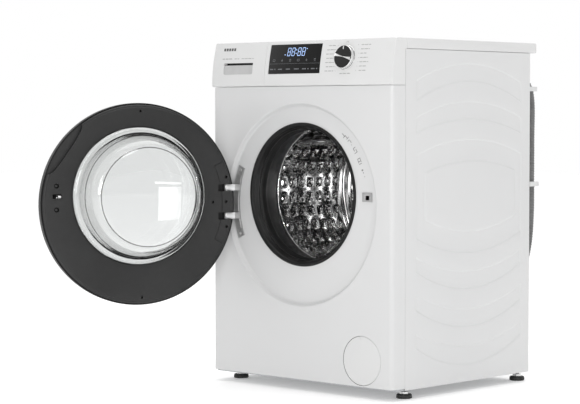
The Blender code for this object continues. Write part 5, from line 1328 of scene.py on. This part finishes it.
HOSE_LENGTH = float(cum[-1])


def hose_radius(i):
    s = ss[i]
    if s < 0.045 or s > HOSE_LENGTH - 0.075:
        return HOSE_R - 0.0006
    return HOSE_R - 0.0008 + 0.0007 * math.cos(2 * math.pi * s / 0.0066)


done(obj_from(sweep(path, hose_radius, 20), "vis_drain_hose"), "hose", "cabinet", ["drain_hose"], smooth=70)
ex, ez = BEND_X - BEND, 0.3600
cuff = obj_from(turn([(0.0085, 0.0), (0.0128, 0.0), (0.0138, 0.0010), (0.0138, 0.0080), (0.0130, 0.0092), (0.0130, 0.0500), (0.0122, 0.0520), (0.0112, 0.0520), (0.0112, 0.0030), (0.0085, 0.0030)],
                     64), "vis_hose_cuff")
cuff.data.transform(Matrix.Translation((ex, HOSE_Y, ez - 0.0004)) @ Matrix.Rotation(math.radians(90), 4, 'X'))
done(cuff, "blackrubber", "cabinet", smooth=35)


def clip(i, deg, x, z):
    ob = obj_from(prism(rounded_rect(x - 0.0165, x + 0.0165, z - 0.0060, z + 0.0060, 0.0016), 'y', 0.5305, 0.5650), "vis_hose_clip_%d" % i)
    d = Vector((-math.sin(math.radians(deg)), 0, math.cos(math.radians(deg)))) * 0.03
    c = Vector((x, HOSE_Y, z))
    boolean(ob, [cutter(cyl_bm(HOSE_R + 0.0009, c - d, c + d, 64)), cutter(box_bm(x - 0.0080, x + 0.0080, HOSE_Y, 0.58, z - 0.02, z + 0.02))])
    bevel(ob, 0.0006, 2)
    done(ob, "white", "cabinet", ["hose_clip_%d" % i], smooth=30)


clip(1, 23.0, BEND_X + BEND * math.cos(math.radians(23.0)), BEND_Z + BEND * math.sin(math.radians(23.0)))
clip(2, 0.0, HOSE_X - 0.0006, 0.4960)
clip(3, 0.0, BEND_X - BEND, 0.6150)

# ================================================================== underneath: feet
FNAMES = ("fl", "fr", "bl", "br")
for nm, cad, (x, y) in zip(FNAMES, ("foot_front_left", "foot_front_right", "foot_back_left", "foot_back_right"), FEET):
    def zturn(profile, n=48):
        b = turn(profile, n)
        bmesh.ops.transform(b, matrix=Matrix.Translation((x, y, 0)) @ Matrix.Rotation(math.radians(90), 4, 'X'), verts=b.verts)
        return b
    pad = obj_from(zturn([(0.0, 0.0), (0.0172, 0.0), (0.0184, 0.0006), (0.0190, 0.0020), (0.0188, 0.0060), (0.0180, 0.0092), (0.0168, 0.0102), (0.0100, 0.0105), (0.0, 0.0105)]), "vis_foot_pad_" + nm)
    done(pad, "blackrubber", "foot_" + nm, [cad], smooth=35)
    hexn = obj_from(zturn([(0.0, 0.0104), (0.0108, 0.0104), (0.0115, 0.0110), (0.0115, 0.0160), (0.0108, 0.0166), (0.0, 0.0166)], 6), "vis_foot_nut_" + nm)
    done(hexn, "steel", "foot_" + nm, smooth=20)
    thread = [(0.0, 0.0165)] + [q for k in range(28) for q in ((0.0060, 0.0170 + 0.0015 * k), (0.0054, 0.01775 + 0.0015 * k))] + [(0.0, 0.0600)]
    done(obj_from(zturn(thread, 32), "vis_foot_thread_" + nm), "steel", "foot_" + nm, smooth=40)

# ================================================================== CAD nodes that are shown as they are, with full materials
KEEP = {"base_pan": "galv", "top_brace": "galv", "drawer_housing": "white", "door_lock": "dark", "drain_pump": "greyplastic",
        "tub_front": "tub", "tub_rear": "tub", "counterweight_top": "ballast", "counterweight_front": "ballast", "heater": "stainless",
        "motor": "galv", "drive_belt": "blackrubber", "drum_spider": "castalu", "drum_pulley": "castalu", "motor_pulley": "steel",
        "drawer_tray": "white", "siphon_cap": "blue"}
# springs, dampers and hoses reach from the cabinet to the floating tub; each is copied as it stands, with a material
LINKS = {"spring_left": ("steel", 1), "spring_right": ("steel", 1), "fill_hose": ("blackrubber", 1), "damper_left": ("greyplastic", 0),
         "damper_right": ("greyplastic", 0), "sump_hose": ("blackrubber", 0)}
for name, (mat, hang) in LINKS.items():
    node = NODES[name]
    me_ = node.data.copy()
    me_.transform(node.matrix_world)
    me_.materials.clear()
    me_.materials.append(M[mat])
    li = bpy.data.objects.new("vis_" + name, me_)
    bpy.context.scene.collection.objects.link(li)
    cs_ = np.array([v.co for v in me_.vertices], float)
    mid_, zlo_, zhi_ = cs_.mean(0), float(cs_[:, 2].min()), float(cs_[:, 2].max())
    lo_, hi_ = (float(mid_[0]), float(mid_[1]), zlo_), (float(mid_[0]), float(mid_[1]), zhi_)
    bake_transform(li)
    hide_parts(name)
for name, mat in KEEP.items():
    node = NODES[name]
    node.data.materials.clear()
    node.data.materials.append(M[mat])

# ================================================================== studio
bpy.ops.mesh.primitive_plane_add(size=30, location=(0, 0, -0.0002))
floor = bpy.context.object
floor.name = "floor"
fm = Mat("floor_paper")
fm.colour(fm.noise(1.5, 2), g(0.93), g(0.95)).rough(fm.noise(3.0, 2), 0.75, 0.85)
fm.b.inputs["Emission Color"].default_value = (1, 1, 1, 1)
fm.set(estr=0.22)
floor.data.materials.append(fm.m)

world = bpy.data.worlds.new("studio")
bpy.context.scene.world = world
world.use_nodes = True
wn_, wl_ = world.node_tree.nodes, world.node_tree.links
wb = wn_["Background"]
wb.inputs["Strength"].default_value = 1.0
# a white cyclorama behind and beside the machine, a dimmer room in front of it
tc = wn_.new("ShaderNodeTexCoord")
dot = wn_.new("ShaderNodeVectorMath")
dot.operation = 'DOT_PRODUCT'
wl_.new(tc.outputs["Generated"], dot.inputs[0])
dot.inputs[1].default_value = (-0.70, 0.70, 0.12)
wr = wn_.new("ShaderNodeValToRGB")
wr.color_ramp.elements[0].position = 0.02
wr.color_ramp.elements[0].color = (0.42, 0.42, 0.42, 1)
wr.color_ramp.elements[1].position = 0.62
wr.color_ramp.elements[1].color = (1.0, 1.0, 1.0, 1)
mr = wn_.new("ShaderNodeMapRange")
mr.inputs["From Min"].default_value = -1.0
mr.inputs["From Max"].default_value = 1.0
wl_.new(dot.outputs["Value"], mr.inputs["Value"])
wl_.new(mr.outputs["Result"], wr.inputs["Fac"])
wl_.new(wr.outputs["Color"], wb.inputs["Color"])


def area(name, loc, target, size, power, colour=(1, 1, 1), size_y=None):
    d = bpy.data.lights.new(name, 'AREA')
    d.energy = power
    d.color = colour
    d.shape = 'RECTANGLE'
    d.size = size
    d.size_y = size_y or size
    o = bpy.data.objects.new(name, d)
    bpy.context.scene.collection.objects.link(o)
    o.location = loc
    o.rotation_euler = (Vector(target) - Vector(loc)).to_track_quat('-Z', 'Y').to_euler()
    return o


area("key", (2.2, -4.7, 1.35), (0.0, 0.0, 0.45), 1.3, 40, size_y=1.7)
area("front", (3.45, -4.05, 0.95), (0.0, 0.0, 0.47), 0.55, 22, size_y=0.9)
area("side", (3.3, -1.45, 1.9), (0.1, 0.1, 0.45), 0.6, 9)
area("top", (0.0, 0.2, 3.8), (0.0, 0.1, 0.5), 3.4, 43)
area("back", (-0.6, 4.0, 2.4), (0.0, 0.4, 0.4), 2.4, 9)
# the drum's own lamp at the top of its mouth, and a low fill through the mouth
for nm_, at_, to_, sx_, sy_, w_ in (("drum_lamp", (0.060, 0.128, 0.600), (-0.20, 0.28, 0.45), 0.036, 0.036, 0.26),
                                    ("drum_fill", (0.130, 0.125, 0.430), (-0.12, 0.42, 0.46), 0.08, 0.10, 0.80)):
    lo_ = area(nm_, Vector(at_) + O, Vector(to_) + O, sx_, w_, size_y=sy_)
    lo_.visible_camera = False
# two low panels that only the door's glass sees as bright shapes
area("panel", (3.72, -0.58, 0.225), (-0.33, -0.20, 0.235), 0.32, 1.8, size_y=0.43)
area("bar", (3.72, -0.60, 0.49), (-0.33, -0.20, 0.45), 0.38, 0.18, size_y=0.030)

cam = bpy.data.cameras.new("camera")
cam.lens = 123.33
cam.sensor_width = 36.0
cam.sensor_fit = 'HORIZONTAL'
cam.clip_start, cam.clip_end = 0.1, 100.0
co = bpy.data.objects.new("camera", cam)
bpy.context.scene.collection.objects.link(co)
co.location = Vector((3.28291718, -3.51865024, 0.66882373)) + O
co.rotation_euler = (math.radians(90 - 2.4965), 0.0, math.radians(43.2793))
bpy.context.scene.camera = co
bpy.context.scene.view_settings.view_transform = 'Standard'
